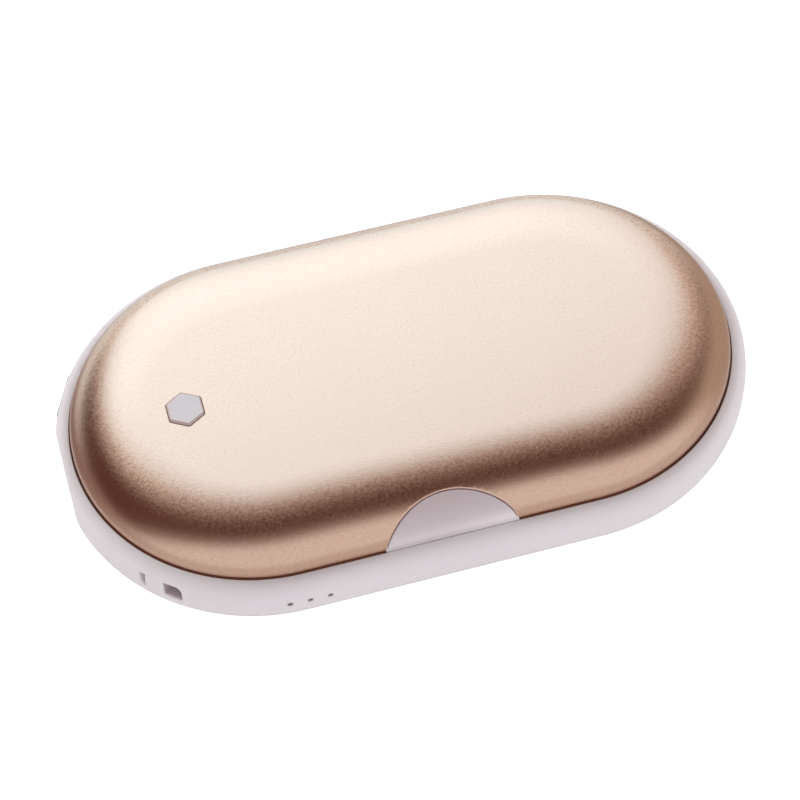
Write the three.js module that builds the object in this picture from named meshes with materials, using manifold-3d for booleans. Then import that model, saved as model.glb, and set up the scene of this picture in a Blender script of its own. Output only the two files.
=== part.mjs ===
// Rechargeable hand warmer: two stamped aluminium domes on a moulded band, with two cells,
// a heater film under each dome, and a board that carries the switch, the lights and the sockets.
// Millimetres, +Z up. Every piece is drawn about the middle plane of the body, port end at -X.

import * as THREE from "three";
import { mergeVertices } from "three/addons/utils/BufferGeometryUtils.js";
import Module from "manifold-3d";

const wasm = await Module();
wasm.setup();

// Cells, laid side by side along X. The body is sized around them.
const cellDiameter = 18.3;
const cellLength = 65;
const cellPairGap = 0.4;
const cellClearance = 0.15;
const cellCapDiameter = 15.6;
const cellCapRise = 0.3;
const cellRimRound = 0.8;

// Room left around the cells, which makes the body 110 long and 63.5 wide. The bay at the port
// end follows the board and the switch, and the rear one the corners of the cells.
const sideBayWidth = 13.25;
const cellCornerGap = 1.956;

// Shells: a flat crown, a rounded shoulder and a short skirt that sits in the band
const shellWall = 0.75;
const shoulderWidth = 13.3;
const domeRoundness = 2.4;

// Heater film and insulation pad under each crown
const filmThickness = 0.2;
const filmMargin = 1.25;
const filmLeadLength = 3.5;
const tailWidth = 4;
const tailOffset = 7;
const tailStandoff = 2.1;
const tailFoot = 1.4;
const padThickness = 0.25;
const padMargin = 1;

// Band: outer curve, groove that takes the skirts, and inner rib
const seamHeight = 4.3;
const rimInset = 2.7;
const bandRoundness = 2.8;
const seatDepth = 0.8;
const seamGap = 0.3;
const grooveFit = 0.15;
const ribWall = 0.9;
const ribRise = 1.5;
const portFlatDepth = 0.95;
const lugWidth = 5.6;
const lugReach = 5.7;
const lugBite = 1.2;

// Half-moon inlay in the front shoulder of the top shell
const moonChord = 21.4;
const moonRise = 7;
const moonTiltDegrees = 45;
const moonGap = 0.12;
const moonSink = 0.1;
const moonLip = 1.2;
const moonBacking = 0.8;
const moonReach = 5;

// Power button and the switch under it
const buttonFromEnd = 20.9;
const buttonSides = 6;
const buttonRadius = 2.95;
const buttonBevel = 0.35;
const buttonProud = 0.45;
const buttonGap = 0.15;
const collarRadius = 4;
const collarThickness = 0.9;
const collarGap = 0.2;
const stemRadius = 1.6;
const stemLength = 0.15;
const switchSide = 6;
const switchLegWidth = 0.7;
const switchLegReach = 1;
const switchLegThickness = 0.2;
const switchLegSpacing = 4.5;
const plungerRadius = 1.7;
const plungerFit = 0.15;
const plungerSunk = 0.6;
const plungerRise = 0.9;
const wellDepth = 1.1;

// Board
const boardThickness = 1.2;
const boardEdgeGap = 0.4;
const boardCellGap = 3;
const boardArmWidth = 5.6;
const boardArmMargin = 3.8;

// Chassis that cradles the cells and carries the board
const plateThickness = 2;
const plateGap = 0.3;
const cradleWall = 1.5;
const cradleFit = 0.3;
const cradleSpanDegrees = 80;
const endWallThickness = 1.5;
const endWallHeight = 10;
const endWallInset = 1.2;
const endWallGap = 0.6;
const notchWidth = 11.5;
const notchOffset = -1.5;
const notchFloor = 3;
const postRadius = 2.2;
const cutMargin = 0.5;
const frontPostLength = 13;
const frontPostWallGap = 13.25;
const rearPostLength = 4.5;
const rearPostWallGap = 10.25;

// Screws
const screwRadius = 0.8;
const screwHeadRadius = 1.9;
const screwHeadHeight = 1.3;
const screwBite = 2;
const screwFit = 0.15;
const screwClearance = 0.3;
const chassisScrewFrontLength = 15.25;
const chassisScrewRearLength = 6.75;
const chassisScrewWallGap = 3.35;

// Nickel strips and the lead that joins the far ends of the cells to the board
const stripThickness = 0.15;
const stripWidth = 7;
const stripLength = 26;
const stripTabWidth = 4;
const stripTabOffset = 4.5;
const stripTabFoot = 1.6;
const leadRadius = 0.7;
const leadCellGap = 0.3;
const leadFootLength = 2.4;
const leadSwitchGap = 0.5;

// Wide socket in the port face
const usbWidth = 13.2;
const usbHeight = 5.8;
const usbDepth = 14;
const usbWall = 0.3;
const usbCornerRadius = 0.6;
const usbRecess = 0.3;
const usbFit = 0.15;
const usbTongueSideGap = 0.75;
const usbTongueThickness = 1.85;
const usbTongueLift = 0.65;
const usbTongueRecess = 1;
const usbBlockDepth = 4;
const contactWidth = 1;
const contactThickness = 0.25;
const contactLength = 7.4;
const contactPitch = 2.5;
const contactCount = 4;
const windowLength = 4;
const windowWidth = 1.8;
const windowSpacing = 6;
const windowFromMouth = 3.5;

// Small charging inlet beside it
const inletSocketGap = 1.06;
const inletWidth = 7.5;
const inletFootWidth = 5.6;
const inletHeight = 2.6;
const inletDepth = 5.2;
const inletWall = 0.25;
const inletFit = 0.15;
const inletSink = 0.15;
const inletTongueWidth = 3.6;
const inletTongueThickness = 0.6;
const inletTongueRecess = 0.8;
const inletBlockDepth = 1.4;

// Status lights
const lightCount = 3;
const lightEndLength = 2.75;
const lightPitch = 3.1;
const lightHoleRadius = 0.4;
const lightHoleDepth = 1.2;
const lightPocketRadius = 0.8;
const lightHeight = 0.2;
const lightPinRadius = 0.65;
const lightPinGap = 0.1;
const lightBarWidth = 2.5;
const lightBarMargin = 1.2;
const lightBarDrop = 1.1;
const ledSize = [1.6, 0.8, 0.6];
const ledGap = 0.1;

// Cord anchor in the band: two pockets joined behind a bar
const cordAngleDegrees = -133.15;
const cordBarWidth = 3.1;
const cordBarThickness = 1.6;
const cordPocketWidth = 3;
const cordPocketDepth = 3.2;
const cordPocketLow = -0.6;
const cordPocketHigh = 2.4;
const cordPocketRound = 1.1;
const cordScoopFlat = 0.5;
const cordScoopRun = 1.6;

// Parts on the board, as [length, width, height]. Their places are shares of the board's length
// from the port end and of the half width of the body.
const chipSize = [4.9, 3.9, 1.5];
const chipShares = [0.36, -0.19];
const transistorSize = [3, 2.8, 1.1];
const transistorShares = [0.76, -0.38];
const inductorSize = [6.8, 6.8, 3];
const inductorShares = [0.49, 0.35];
const capacitorSize = [3.2, 2.5, 1.8];
const capacitorPlaceShares = [[0.36, 0.06], [0.67, -0.57]];
const chipRound = 0.4;
const inductorRound = 1.4;

// Thermistor beads in the valleys between the cells
const beadRadius = 1.1;
const beadLength = 2.6;
const beadGap = 0.1;

// Facets and cutting overrun
const overrun = 1;
const endSteps = 24;
const domeSteps = 9;
const bandSteps = 12;
const roundSteps = 32;
const smallSteps = 16;
const tinySteps = 10;
const filmSteps = 8;
const cornerSteps = 2;
const leadSteps = 36;
const leadSides = 8;
const cradleSteps = 10;
const mergeShare = 1e-7;

// Worked out from the sizes above
const cellRadius = cellDiameter / 2;
const cellSide = (cellDiameter + cellPairGap) / 2;
const bodyWidth = 2 * (cellDiameter + sideBayWidth) + cellPairGap;
const endRadius = bodyWidth / 2;
const ribInset = rimInset + shellWall + grooveFit;
const bandInset = ribInset + ribWall;
const boardRearLength = buttonFromEnd + switchSide / 2 + leadSwitchGap + leadRadius + leadFootLength;
const portBayLength = boardRearLength + boardCellGap;
const bandInside = endRadius - bandInset;
const cellCornerReach = bandInside - cellCornerGap;
const rearBayLength = endRadius - Math.sqrt(cellCornerReach ** 2 - (cellSide + cellRadius) ** 2);
const bodyLength = portBayLength + cellLength + rearBayLength;
const endCentre = bodyLength / 2 - endRadius;
const portEnd = -bodyLength / 2;
const portFace = portEnd + portFlatDepth;
const cellFront = portEnd + portBayLength;
const cellRear = cellFront + cellLength;
const padBottom = cellRadius + cellClearance;
const filmBottom = padBottom + padThickness;
const crownInside = filmBottom + filmThickness;
const halfThickness = crownInside + shellWall;
const domeRise = halfThickness - seamHeight;
const seatHeight = seamHeight - seatDepth;
const ribTop = seatHeight + ribRise;
const plateTop = plateThickness / 2;
const boardBottom = usbHeight / 2;
const boardTop = boardBottom + boardThickness;
const boardInset = bandInset + boardEdgeGap;
const boardRear = cellFront - boardCellGap;
const buttonX = portEnd + buttonFromEnd;
const collarTop = crownInside - collarGap;
const stemBottom = collarTop - collarThickness - stemLength;
const switchTop = stemBottom - plungerRise;
const firstLight = -endCentre - lightEndLength;
const lastLight = firstLight + (lightCount - 1) * lightPitch;
const lightPocketFace = -endRadius + lightHoleDepth;
const lightBarBack = -endRadius + boardInset + lightBarWidth;
const moonRadius = (moonChord ** 2 / 4 + moonRise ** 2) / (2 * moonRise);
const cradleOuter = cellRadius + cradleFit + cradleWall;
const chassisFront = cellFront - endWallGap - endWallThickness;
const chassisRear = cellRear + endWallGap + endWallThickness;
const tailDrop = chassisFront - tailStandoff;
const crownInset = rimInset + shoulderWidth;
const filmWidth = bodyWidth - 2 * (crownInset + filmMargin);
const filmFront = cellFront - filmLeadLength;
const filmRear = bodyLength / 2 - crownInset - filmMargin;
const inletMouth = Math.sqrt(endRadius ** 2 - (inletWidth / 2 + inletFit) ** 2) - inletSink;
const inletRear = inletMouth - inletDepth;
const inletTurn = Math.atan2(inletWidth / 2, inletRear);
const inletSpread = Math.asin((usbWidth / 2 + inletSocketGap) / Math.hypot(inletWidth / 2, inletRear));
const inletAngle = Math.PI - inletTurn - inletSpread;
const usbMouth = portFace + usbRecess;
const usbRear = usbMouth + usbDepth - usbWall;
const tongueFloor = -usbHeight / 2 + usbWall + usbTongueLift;
const usbTongueWidth = usbWidth - 2 * (usbWall + usbTongueSideGap);
const leadHeight = Math.sqrt((cellRadius + leadCellGap + leadRadius) ** 2 - cellSide ** 2);

// Screw places
const boardScrews = [
  [portEnd + frontPostLength, frontPostWallGap - bandInside],
  [boardRear - rearPostLength, bandInside - rearPostWallGap],
];
const chassisScrews = [];
for (const x of [-endCentre + chassisScrewFrontLength, endCentre + chassisScrewRearLength]) {
  for (const side of [-1, 1]) {
    chassisScrews.push([x, side * (bandInside - chassisScrewWallGap)]);
  }
}

// A closed mesh as a solid for joining and cutting
function solid(geometry) {
  const bare = geometry.index ? geometry.toNonIndexed() : geometry.clone();
  bare.deleteAttribute("normal");
  bare.deleteAttribute("uv");
  const merged = mergeVertices(bare, bodyLength * mergeShare);
  const mesh = new wasm.Mesh({
    numProp: 3,
    vertProperties: merged.attributes.position.array,
    triVerts: new Uint32Array(merged.index.array),
  });
  return new wasm.Manifold(mesh);
}

// The solid's surface as a geometry again
function surface(body) {
  const mesh = body.getMesh();
  const geometry = new THREE.BufferGeometry();
  geometry.setAttribute("position", new THREE.BufferAttribute(mesh.vertProperties, 3));
  geometry.setIndex(new THREE.BufferAttribute(mesh.triVerts, 1));
  geometry.computeVertexNormals();
  return geometry;
}

// Box between two corners
function block([x0, y0, z0], [x1, y1, z1]) {
  const geometry = new THREE.BoxGeometry(x1 - x0, y1 - y0, z1 - z0);
  geometry.translate((x0 + x1) / 2, (y0 + y1) / 2, (z0 + z1) / 2);
  return solid(geometry);
}

// Upright cylinder between two heights
function post(radius, [x, y], low, high, steps = smallSteps) {
  const geometry = new THREE.CylinderGeometry(radius, radius, high - low, steps);
  geometry.rotateX(Math.PI / 2);
  geometry.translate(x, y, (low + high) / 2);
  return solid(geometry);
}

// Cylinder along Y between two places
function peg(radius, x, z, low, high, steps = smallSteps) {
  const geometry = new THREE.CylinderGeometry(radius, radius, high - low, steps);
  geometry.translate(x, (low + high) / 2, z);
  return solid(geometry);
}

// Flat shape raised between two heights
function slab(shape, low, high, curveSegments = tinySteps) {
  const geometry = new THREE.ExtrudeGeometry(shape, {
    depth: high - low,
    bevelEnabled: false,
    curveSegments,
  });
  geometry.translate(0, 0, low);
  return geometry;
}

// Shape drawn in Y and Z, run along X between two places
function run(shape, low, high, curveSegments = cornerSteps) {
  const turn = new THREE.Matrix4().makeBasis(
    new THREE.Vector3(0, 1, 0),
    new THREE.Vector3(0, 0, 1),
    new THREE.Vector3(1, 0, 0),
  );
  return slab(shape, low, high, curveSegments).applyMatrix4(turn);
}

// Rectangle with rounded corners about a centre
function roundedRectangle(width, height, radius, [x, y] = [0, 0]) {
  const reachX = width / 2 - radius;
  const reachY = height / 2 - radius;
  const quarter = Math.PI / 2;
  const shape = new THREE.Shape();
  shape.absarc(x + reachX, y + reachY, radius, 0, quarter);
  shape.absarc(x - reachX, y + reachY, radius, quarter, 2 * quarter);
  shape.absarc(x - reachX, y - reachY, radius, 2 * quarter, 3 * quarter);
  shape.absarc(x + reachX, y - reachY, radius, 3 * quarter, 4 * quarter);
  return shape;
}

// Turned profile of [radius, height] pairs about the upright axis
function turned(profile, steps) {
  const points = profile.map(([radius, height]) => new THREE.Vector2(radius, height));
  const geometry = new THREE.LatheGeometry(points, steps);
  geometry.rotateX(Math.PI / 2);
  return geometry;
}

// Body outline drawn inward by an inset: straight sides and round ends
function stadium(inset, height) {
  const radius = endRadius - inset;
  const points = [];
  for (const side of [1, -1]) {
    for (let step = 0; step <= endSteps; step += 1) {
      const angle = (step / endSteps - 1 / 2) * Math.PI;
      const x = side * (endCentre + radius * Math.cos(angle));
      points.push([x, side * radius * Math.sin(angle), height]);
    }
  }
  return points;
}

// Skin through stacked outlines given as [inset, height], rising on the outside.
// A ring joins its last outline to its first, and anything else is closed by flat caps.
function loft(profile, isRing = false) {
  const outlines = profile.map(([inset, height]) => stadium(inset, height));
  const count = outlines[0].length;
  const positions = outlines.flat();
  const faces = [];
  const bands = isRing ? outlines.length : outlines.length - 1;
  for (let band = 0; band < bands; band += 1) {
    const here = band * count;
    const above = ((band + 1) % outlines.length) * count;
    for (let step = 0; step < count; step += 1) {
      const next = (step + 1) % count;
      faces.push(here + step, here + next, above + next, here + step, above + next, above + step);
    }
  }
  if (!isRing) {
    const low = positions.push([0, 0, profile[0][1]]) - 1;
    const high = positions.push([0, 0, profile.at(-1)[1]]) - 1;
    const top = (outlines.length - 1) * count;
    for (let step = 0; step < count; step += 1) {
      const next = (step + 1) % count;
      faces.push(low, next, step, high, top + step, top + next);
    }
  }
  const geometry = new THREE.BufferGeometry();
  geometry.setAttribute("position", new THREE.Float32BufferAttribute(positions.flat(), 3));
  geometry.setIndex(faces);
  return geometry;
}

// Quarter of a superellipse from its foot to its crown, as [inset, height] pairs
function quarterCurve(inset, foot, width, rise, roundness, steps, endAngle = Math.PI / 2) {
  const points = [];
  for (let step = 0; step <= steps; step += 1) {
    const angle = (step / steps) * endAngle;
    const across = Math.max(Math.cos(angle), 0) ** (2 / roundness);
    points.push([inset + width * (1 - across), foot + rise * Math.sin(angle) ** (2 / roundness)]);
  }
  return points;
}

// Dome curve of the shells, moved inward by a depth
function domeCurve(depth) {
  return quarterCurve(
    rimInset + depth,
    seamHeight,
    shoulderWidth - depth,
    domeRise - depth,
    domeRoundness,
    domeSteps,
  );
}

// Stamped dome with its skirt, open below
function plainShell() {
  const inside = domeCurve(shellWall).reverse();
  const edge = [[rimInset + shellWall, seatHeight], [rimInset, seatHeight]];
  return loft([...inside, ...edge, ...domeCurve(0)]);
}

// Everything under the dome surface at a depth, down to the seat
function domeFill(depth) {
  return solid(loft([[rimInset + depth, seatHeight], ...domeCurve(depth)]));
}

// Round cutter through the front shoulder, square to its slope
function moonCutter(grow) {
  const tilt = THREE.MathUtils.degToRad(moonTiltDegrees);
  const slope = new THREE.Vector3(0, Math.cos(tilt), Math.sin(tilt));
  const rim = new THREE.Vector3(0, -endRadius + rimInset, seamHeight);
  const centre = rim.addScaledVector(slope, moonRise - moonRadius);
  const geometry = new THREE.CylinderGeometry(
    moonRadius + grow,
    moonRadius + grow,
    2 * moonReach,
    2 * roundSteps,
  );
  geometry.rotateX(Math.PI / 2 + tilt);
  geometry.translate(centre.x, centre.y, centre.z);
  return solid(geometry);
}

// Outline of the button hole, with two corners on the cross axis
function buttonOutline(radius) {
  const points = [];
  for (let corner = 0; corner < buttonSides; corner += 1) {
    const angle = Math.PI / 2 + (corner / buttonSides) * 2 * Math.PI;
    points.push(new THREE.Vector2(buttonX + radius * Math.cos(angle), radius * Math.sin(angle)));
  }
  return new THREE.Shape(points);
}

function topShell() {
  const hole = solid(slab(buttonOutline(buttonRadius + buttonGap), seamHeight, halfThickness + overrun));
  return surface(solid(plainShell()).subtract(hole).subtract(moonCutter(0)));
}

// Plastic half moon that fills the notch, with a lip behind the metal
function halfMoonInlay() {
  const backFace = shellWall + moonSink + moonBacking;
  const aboveRib = block(
    [-bodyLength, -bodyWidth, ribTop + grooveFit],
    [bodyLength, bodyWidth, halfThickness],
  );
  const notch = moonCutter(-moonGap);
  const face = domeFill(moonSink).subtract(domeFill(shellWall)).intersect(notch);
  const core = domeFill(moonSink).subtract(domeFill(backFace)).intersect(notch).intersect(aboveRib);
  const behind = domeFill(shellWall + moonSink).subtract(domeFill(backFace));
  const lip = behind.intersect(moonCutter(moonLip)).intersect(aboveRib);
  return surface(face.add(core).add(lip));
}

// Moves a cutter drawn with +X pointing outward onto the round port end
function onPortEnd(geometry, angle) {
  geometry.rotateZ(angle);
  geometry.translate(-endCentre, 0, 0);
  return solid(geometry);
}

// Two pockets joined behind a bar, the far one scooped out sideways for threading a cord
function cordCutter() {
  const angle = THREE.MathUtils.degToRad(cordAngleDegrees);
  const outside = endRadius + overrun;
  const deep = endRadius - cordPocketDepth;
  const nearSide = cordBarWidth / 2 + cordPocketWidth;
  const plan = new THREE.Shape();
  plan.moveTo(outside, nearSide);
  plan.lineTo(deep, nearSide);
  plan.lineTo(deep, -cordBarWidth / 2 - cordScoopFlat);
  plan.lineTo(endRadius, -cordBarWidth / 2 - cordScoopFlat - cordScoopRun);
  plan.lineTo(outside, -cordBarWidth / 2 - cordScoopFlat - cordScoopRun);
  const pockets = onPortEnd(slab(plan, cordPocketLow, cordPocketHigh), angle);

  const faceWidth = nearSide + cordBarWidth / 2 + cordScoopFlat + cordScoopRun;
  const faceCentre = [nearSide - faceWidth / 2, (cordPocketLow + cordPocketHigh) / 2];
  const face = roundedRectangle(faceWidth, cordPocketHigh - cordPocketLow, cordPocketRound, faceCentre);
  const mouth = onPortEnd(run(face, deep, outside), angle);

  const bar = new THREE.Shape();
  bar.moveTo(endRadius - cordBarThickness, -cordBarWidth / 2);
  bar.lineTo(outside, -cordBarWidth / 2);
  bar.lineTo(outside, cordBarWidth / 2);
  bar.lineTo(endRadius - cordBarThickness, cordBarWidth / 2);
  const barBlock = onPortEnd(slab(bar, cordPocketLow, cordPocketHigh), angle);
  return pockets.intersect(mouth).subtract(barBlock);
}

// Mouth of the charging inlet, wider above than below
function inletShape(grow) {
  const high = boardBottom + grow;
  const low = boardBottom - inletHeight - grow;
  const bend = boardBottom - inletHeight / 2;
  const shape = new THREE.Shape();
  shape.moveTo(-inletFootWidth / 2 - grow, low);
  shape.lineTo(inletFootWidth / 2 + grow, low);
  shape.lineTo(inletWidth / 2 + grow, bend);
  shape.lineTo(inletWidth / 2 + grow, high);
  shape.lineTo(-inletWidth / 2 - grow, high);
  shape.lineTo(-inletWidth / 2 - grow, bend);
  return shape;
}

// Moulded band, symmetric about the middle plane, with a groove for each skirt
function midFrame() {
  const crestAngle = Math.acos((seamGap / rimInset) ** (bandRoundness / 2));
  const upper = quarterCurve(0, 0, rimInset, seamHeight, bandRoundness, bandSteps / 2, crestAngle);
  const lower = upper.slice(1).reverse().map(([inset, height]) => [inset, -height]);
  const groove = rimInset - seamGap;
  const upperSeat = [
    [groove, seatHeight],
    [ribInset, seatHeight],
    [ribInset, ribTop],
    [bandInset, ribTop],
  ];
  const lowerSeat = upperSeat.map(([inset, height]) => [inset, -height]).reverse();
  let band = solid(loft([...lower, ...upper, ...upperSeat, ...lowerSeat], true));

  for (const [x, y] of chassisScrews) {
    const tip = Math.sign(y) * (bandInside - lugReach);
    const root = Math.sign(y) * (bandInside + lugBite);
    const low = [x - lugWidth / 2, Math.min(tip, root), -seatHeight];
    const high = [x + lugWidth / 2, Math.max(tip, root), -plateTop];
    const bore = post(screwRadius + screwFit, [x, y], -seatHeight - overrun, 0);
    band = band.add(block(low, high)).subtract(bore);
  }

  const flat = block(
    [portEnd - overrun, -bodyWidth / 2, -halfThickness],
    [portFace, bodyWidth / 2, halfThickness],
  );
  const inside = portEnd + bandInset + overrun;
  const mouthHalf = [usbWidth / 2 + usbFit, usbHeight / 2 + usbFit];
  const mouth = block(
    [portEnd - overrun, -mouthHalf[0], -mouthHalf[1]],
    [inside, mouthHalf[0], mouthHalf[1]],
  );
  band = band.subtract(flat).subtract(mouth);

  const inletTunnel = run(inletShape(inletFit), bandInside - overrun, endRadius + overrun);
  const inletFace = new THREE.BoxGeometry(overrun, inletWidth + 2 * inletFit, inletHeight + 2 * inletFit);
  inletFace.translate(inletMouth + overrun / 2, 0, boardBottom - inletHeight / 2);
  band = band.subtract(onPortEnd(inletTunnel, inletAngle));
  band = band.subtract(onPortEnd(inletFace, inletAngle));

  for (let light = 0; light < lightCount; light += 1) {
    const x = firstLight + light * lightPitch;
    const inner = -endRadius + bandInset + overrun;
    const hole = peg(lightHoleRadius, x, lightHeight, -endRadius - overrun, inner, tinySteps);
    const pocket = peg(lightPocketRadius, x, lightHeight, lightPocketFace, inner);
    band = band.subtract(hole).subtract(pocket);
  }
  return surface(band.subtract(cordCutter()));
}

// Hexagonal cap on a round collar that stays under the shell
function powerButton() {
  const top = halfThickness + buttonProud;
  const cap = turned([
    [0, collarTop - collarThickness / 2],
    [buttonRadius, collarTop - collarThickness / 2],
    [buttonRadius, top - buttonBevel],
    [buttonRadius - buttonBevel, top],
    [0, top],
  ], buttonSides);
  const collar = turned([
    [0, stemBottom],
    [stemRadius, stemBottom],
    [stemRadius, stemBottom + stemLength],
    [collarRadius, stemBottom + stemLength],
    [collarRadius, collarTop],
    [0, collarTop],
  ], roundSteps);
  return surface(solid(cap).add(solid(collar)));
}

function switchBody() {
  const half = switchSide / 2;
  let body = block([-half, -half, boardTop], [half, half, switchTop]);
  for (const side of [-1, 1]) {
    for (const row of [-switchLegSpacing / 2, switchLegSpacing / 2]) {
      const reach = side * (half + switchLegReach);
      const low = [Math.min(0, reach), row - switchLegWidth / 2, boardTop];
      const high = [Math.max(0, reach), row + switchLegWidth / 2, boardTop + switchLegThickness];
      body = body.add(block(low, high));
    }
  }
  const well = post(plungerRadius + plungerFit, [0, 0], switchTop - wellDepth, switchTop + overrun);
  return surface(body.subtract(well));
}

function switchPlunger() {
  return surface(post(plungerRadius, [0, 0], switchTop - plungerSunk, stemBottom));
}

// Board that follows the port end, with an arm along the lights
function mainBoard() {
  const outline = solid(loft([[boardInset, boardBottom], [boardInset, boardTop]]));
  const main = block([portEnd, -bodyWidth, 0], [boardRear, bodyWidth, halfThickness]);
  const armBack = -endRadius + boardInset + boardArmWidth;
  const arm = block([portEnd, -bodyWidth, 0], [lastLight + boardArmMargin, armBack, halfThickness]);
  let board = outline.intersect(main.add(arm));
  for (const place of boardScrews) {
    const hole = post(screwRadius + screwClearance, place, boardBottom - overrun, boardTop + overrun);
    board = board.subtract(hole);
  }
  return surface(board);
}

// Plate with a window for the cells, cradle walls, end walls and posts for the board
function innerChassis() {
  const plateInset = bandInset + plateGap;
  let chassis = solid(loft([[plateInset, -plateTop], [plateInset, plateTop]]));

  const window = cellSide + cellRadius + cradleFit;
  const windowLow = [cellFront - endWallGap, -window, -plateThickness];
  const windowHigh = [cellRear + endWallGap, window, plateThickness];
  chassis = chassis.subtract(block(windowLow, windowHigh));

  const half = THREE.MathUtils.degToRad(cradleSpanDegrees / 2);
  for (const side of [0, Math.PI]) {
    const centre = side === 0 ? cellSide : -cellSide;
    const wall = new THREE.Shape();
    wall.absarc(centre, 0, cradleOuter, side - half, side + half, false);
    wall.absarc(centre, 0, cellRadius + cradleFit, side + half, side - half, true);
    chassis = chassis.add(solid(run(wall, chassisFront, chassisRear, cradleSteps)));
  }

  const endWidth = 2 * (cellSide + cellRadius - endWallInset);
  const endWall = roundedRectangle(endWidth, endWallHeight, cradleWall);
  const notch = block(
    [-bodyLength, notchOffset - notchWidth / 2, notchFloor],
    [bodyLength, notchOffset + notchWidth / 2, halfThickness],
  );
  const front = solid(run(endWall, chassisFront, chassisFront + endWallThickness));
  const rear = solid(run(endWall, chassisRear - endWallThickness, chassisRear));
  const insideBand = solid(loft([[plateInset, -halfThickness], [plateInset, halfThickness]]));
  chassis = chassis.add(front).add(rear).subtract(notch).intersect(insideBand);

  const socketBay = block(
    [portEnd, -usbWidth / 2 - cutMargin, -plateThickness],
    [usbMouth + usbDepth + cutMargin, bodyWidth, plateThickness],
  );
  const guideBay = block(
    [firstLight - lightBarMargin - cutMargin, -bodyWidth, -plateThickness],
    [lastLight + lightBarMargin + cutMargin, lightBarBack + cutMargin, plateThickness],
  );
  const tailSlot = block(
    [tailDrop - tailFoot - cutMargin, -tailOffset - tailWidth / 2 - cutMargin, -plateThickness],
    [chassisFront, -tailOffset + tailWidth / 2 + cutMargin, plateThickness],
  );
  chassis = chassis.subtract(socketBay).subtract(guideBay).subtract(tailSlot);

  for (const place of boardScrews) {
    const boreFloor = boardBottom - screwBite - screwFit;
    const bore = post(screwRadius + screwFit, place, boreFloor, halfThickness);
    chassis = chassis.add(post(postRadius, place, 0, boardBottom)).subtract(bore);
  }
  for (const place of chassisScrews) {
    chassis = chassis.subtract(post(screwRadius + screwClearance, place, -plateThickness, plateThickness));
  }
  return surface(chassis);
}

// Pan-head screw, its head seated at height zero
function screw(grip) {
  return turned([
    [0, -grip],
    [screwRadius, -grip],
    [screwRadius, 0],
    [screwHeadRadius, 0],
    [screwHeadRadius, screwHeadHeight / 2],
    [screwHeadRadius / 2, screwHeadHeight],
    [0, screwHeadHeight],
  ], smallSteps);
}

// Cell drawn along X from its front end
function batteryCell() {
  const cap = cellCapDiameter / 2;
  const cell = turned([
    [0, 0],
    [cap, 0],
    [cap, cellCapRise],
    [cellRadius - cellRimRound, cellCapRise],
    [cellRadius, cellCapRise + cellRimRound],
    [cellRadius, cellLength - cellRimRound],
    [cellRadius - cellRimRound, cellLength],
    [0, cellLength],
  ], roundSteps);
  cell.rotateY(Math.PI / 2);
  return cell;
}

// Strip across the front ends, with a tab bent forward onto the board
function frontStrip() {
  const back = cellFront;
  const face = back - stripThickness;
  const tabLow = -stripTabOffset - stripTabWidth / 2;
  const tabHigh = -stripTabOffset + stripTabWidth / 2;
  const across = block([face, -stripLength / 2, -stripWidth / 2], [back, stripLength / 2, stripWidth / 2]);
  const tab = block([face, tabLow, 0], [back, tabHigh, boardTop + stripThickness]);
  const foot = block(
    [boardRear - stripTabFoot, tabLow, boardTop],
    [back, tabHigh, boardTop + stripThickness],
  );
  return surface(across.add(tab).add(foot));
}

// Strip across the rear ends, with a tab up to the lead
function rearStrip() {
  const face = cellRear + stripThickness;
  const low = [cellRear, -stripLength / 2, -stripWidth / 2];
  const across = block(low, [face, stripLength / 2, stripWidth / 2]);
  const tabTop = leadHeight + leadRadius;
  const tab = block([cellRear, -stripTabWidth / 2, 0], [face, stripTabWidth / 2, tabTop]);
  return surface(across.add(tab));
}

// Insulated lead from the rear strip along the valley between the cells to the board
function batteryLead() {
  const landing = boardRear - leadFootLength;
  const points = [
    [cellRear, 0, leadHeight],
    [cellRear - cellRadius, 0, leadHeight],
    [cellFront + cellRadius, 0, leadHeight],
    [cellFront, 0, (leadHeight + boardTop) / 2 + leadRadius],
    [boardRear, leadRadius, boardTop + 3 * leadRadius],
    [landing, leadRadius, boardTop + 2 * leadRadius],
    [landing, leadRadius, boardTop],
  ].map((point) => new THREE.Vector3(...point));
  const path = new THREE.CatmullRomCurve3(points, false, "centripetal");
  const section = new THREE.Shape();
  section.absarc(0, 0, leadRadius, 0, 2 * Math.PI);
  return new THREE.ExtrudeGeometry(section, {
    steps: leadSteps,
    curveSegments: leadSides / 2,
    extrudePath: path,
    bevelEnabled: false,
  });
}

// Outline of the heater film, drawn in by a margin
function filmOutline(margin) {
  const shape = new THREE.Shape();
  shape.absarc(filmRear - filmWidth / 2, 0, filmWidth / 2 - margin, -Math.PI / 2, Math.PI / 2);
  shape.absarc(filmFront + filmWidth / 2, 0, filmWidth / 2 - margin, Math.PI / 2, (3 * Math.PI) / 2);
  return shape;
}

// Heater film with a tail folded down to a height. side is 1 under the top shell and -1 over
// the bottom shell, whose tail rises to the underside of the board.
function heaterFilm(side) {
  const low = side > 0 ? filmBottom : -crownInside;
  const high = low + filmThickness;
  const film = solid(slab(filmOutline(0), low, high, filmSteps));
  const tailLow = side * tailOffset - tailWidth / 2;
  const tailHigh = side * tailOffset + tailWidth / 2;
  const shelf = block([tailDrop, tailLow, low], [filmFront + filmWidth / 2, tailHigh, high]);
  const landing = side > 0 ? boardTop : boardBottom;
  const footLow = side > 0 ? landing : landing - filmThickness;
  const drop = block(
    [tailDrop, tailLow, side > 0 ? landing : low],
    [tailDrop + filmThickness, tailHigh, side > 0 ? high : landing],
  );
  const foot = block(
    [tailDrop - tailFoot, tailLow, footLow],
    [tailDrop + filmThickness, tailHigh, footLow + filmThickness],
  );
  return surface(film.add(shelf).add(drop).add(foot));
}

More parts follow.
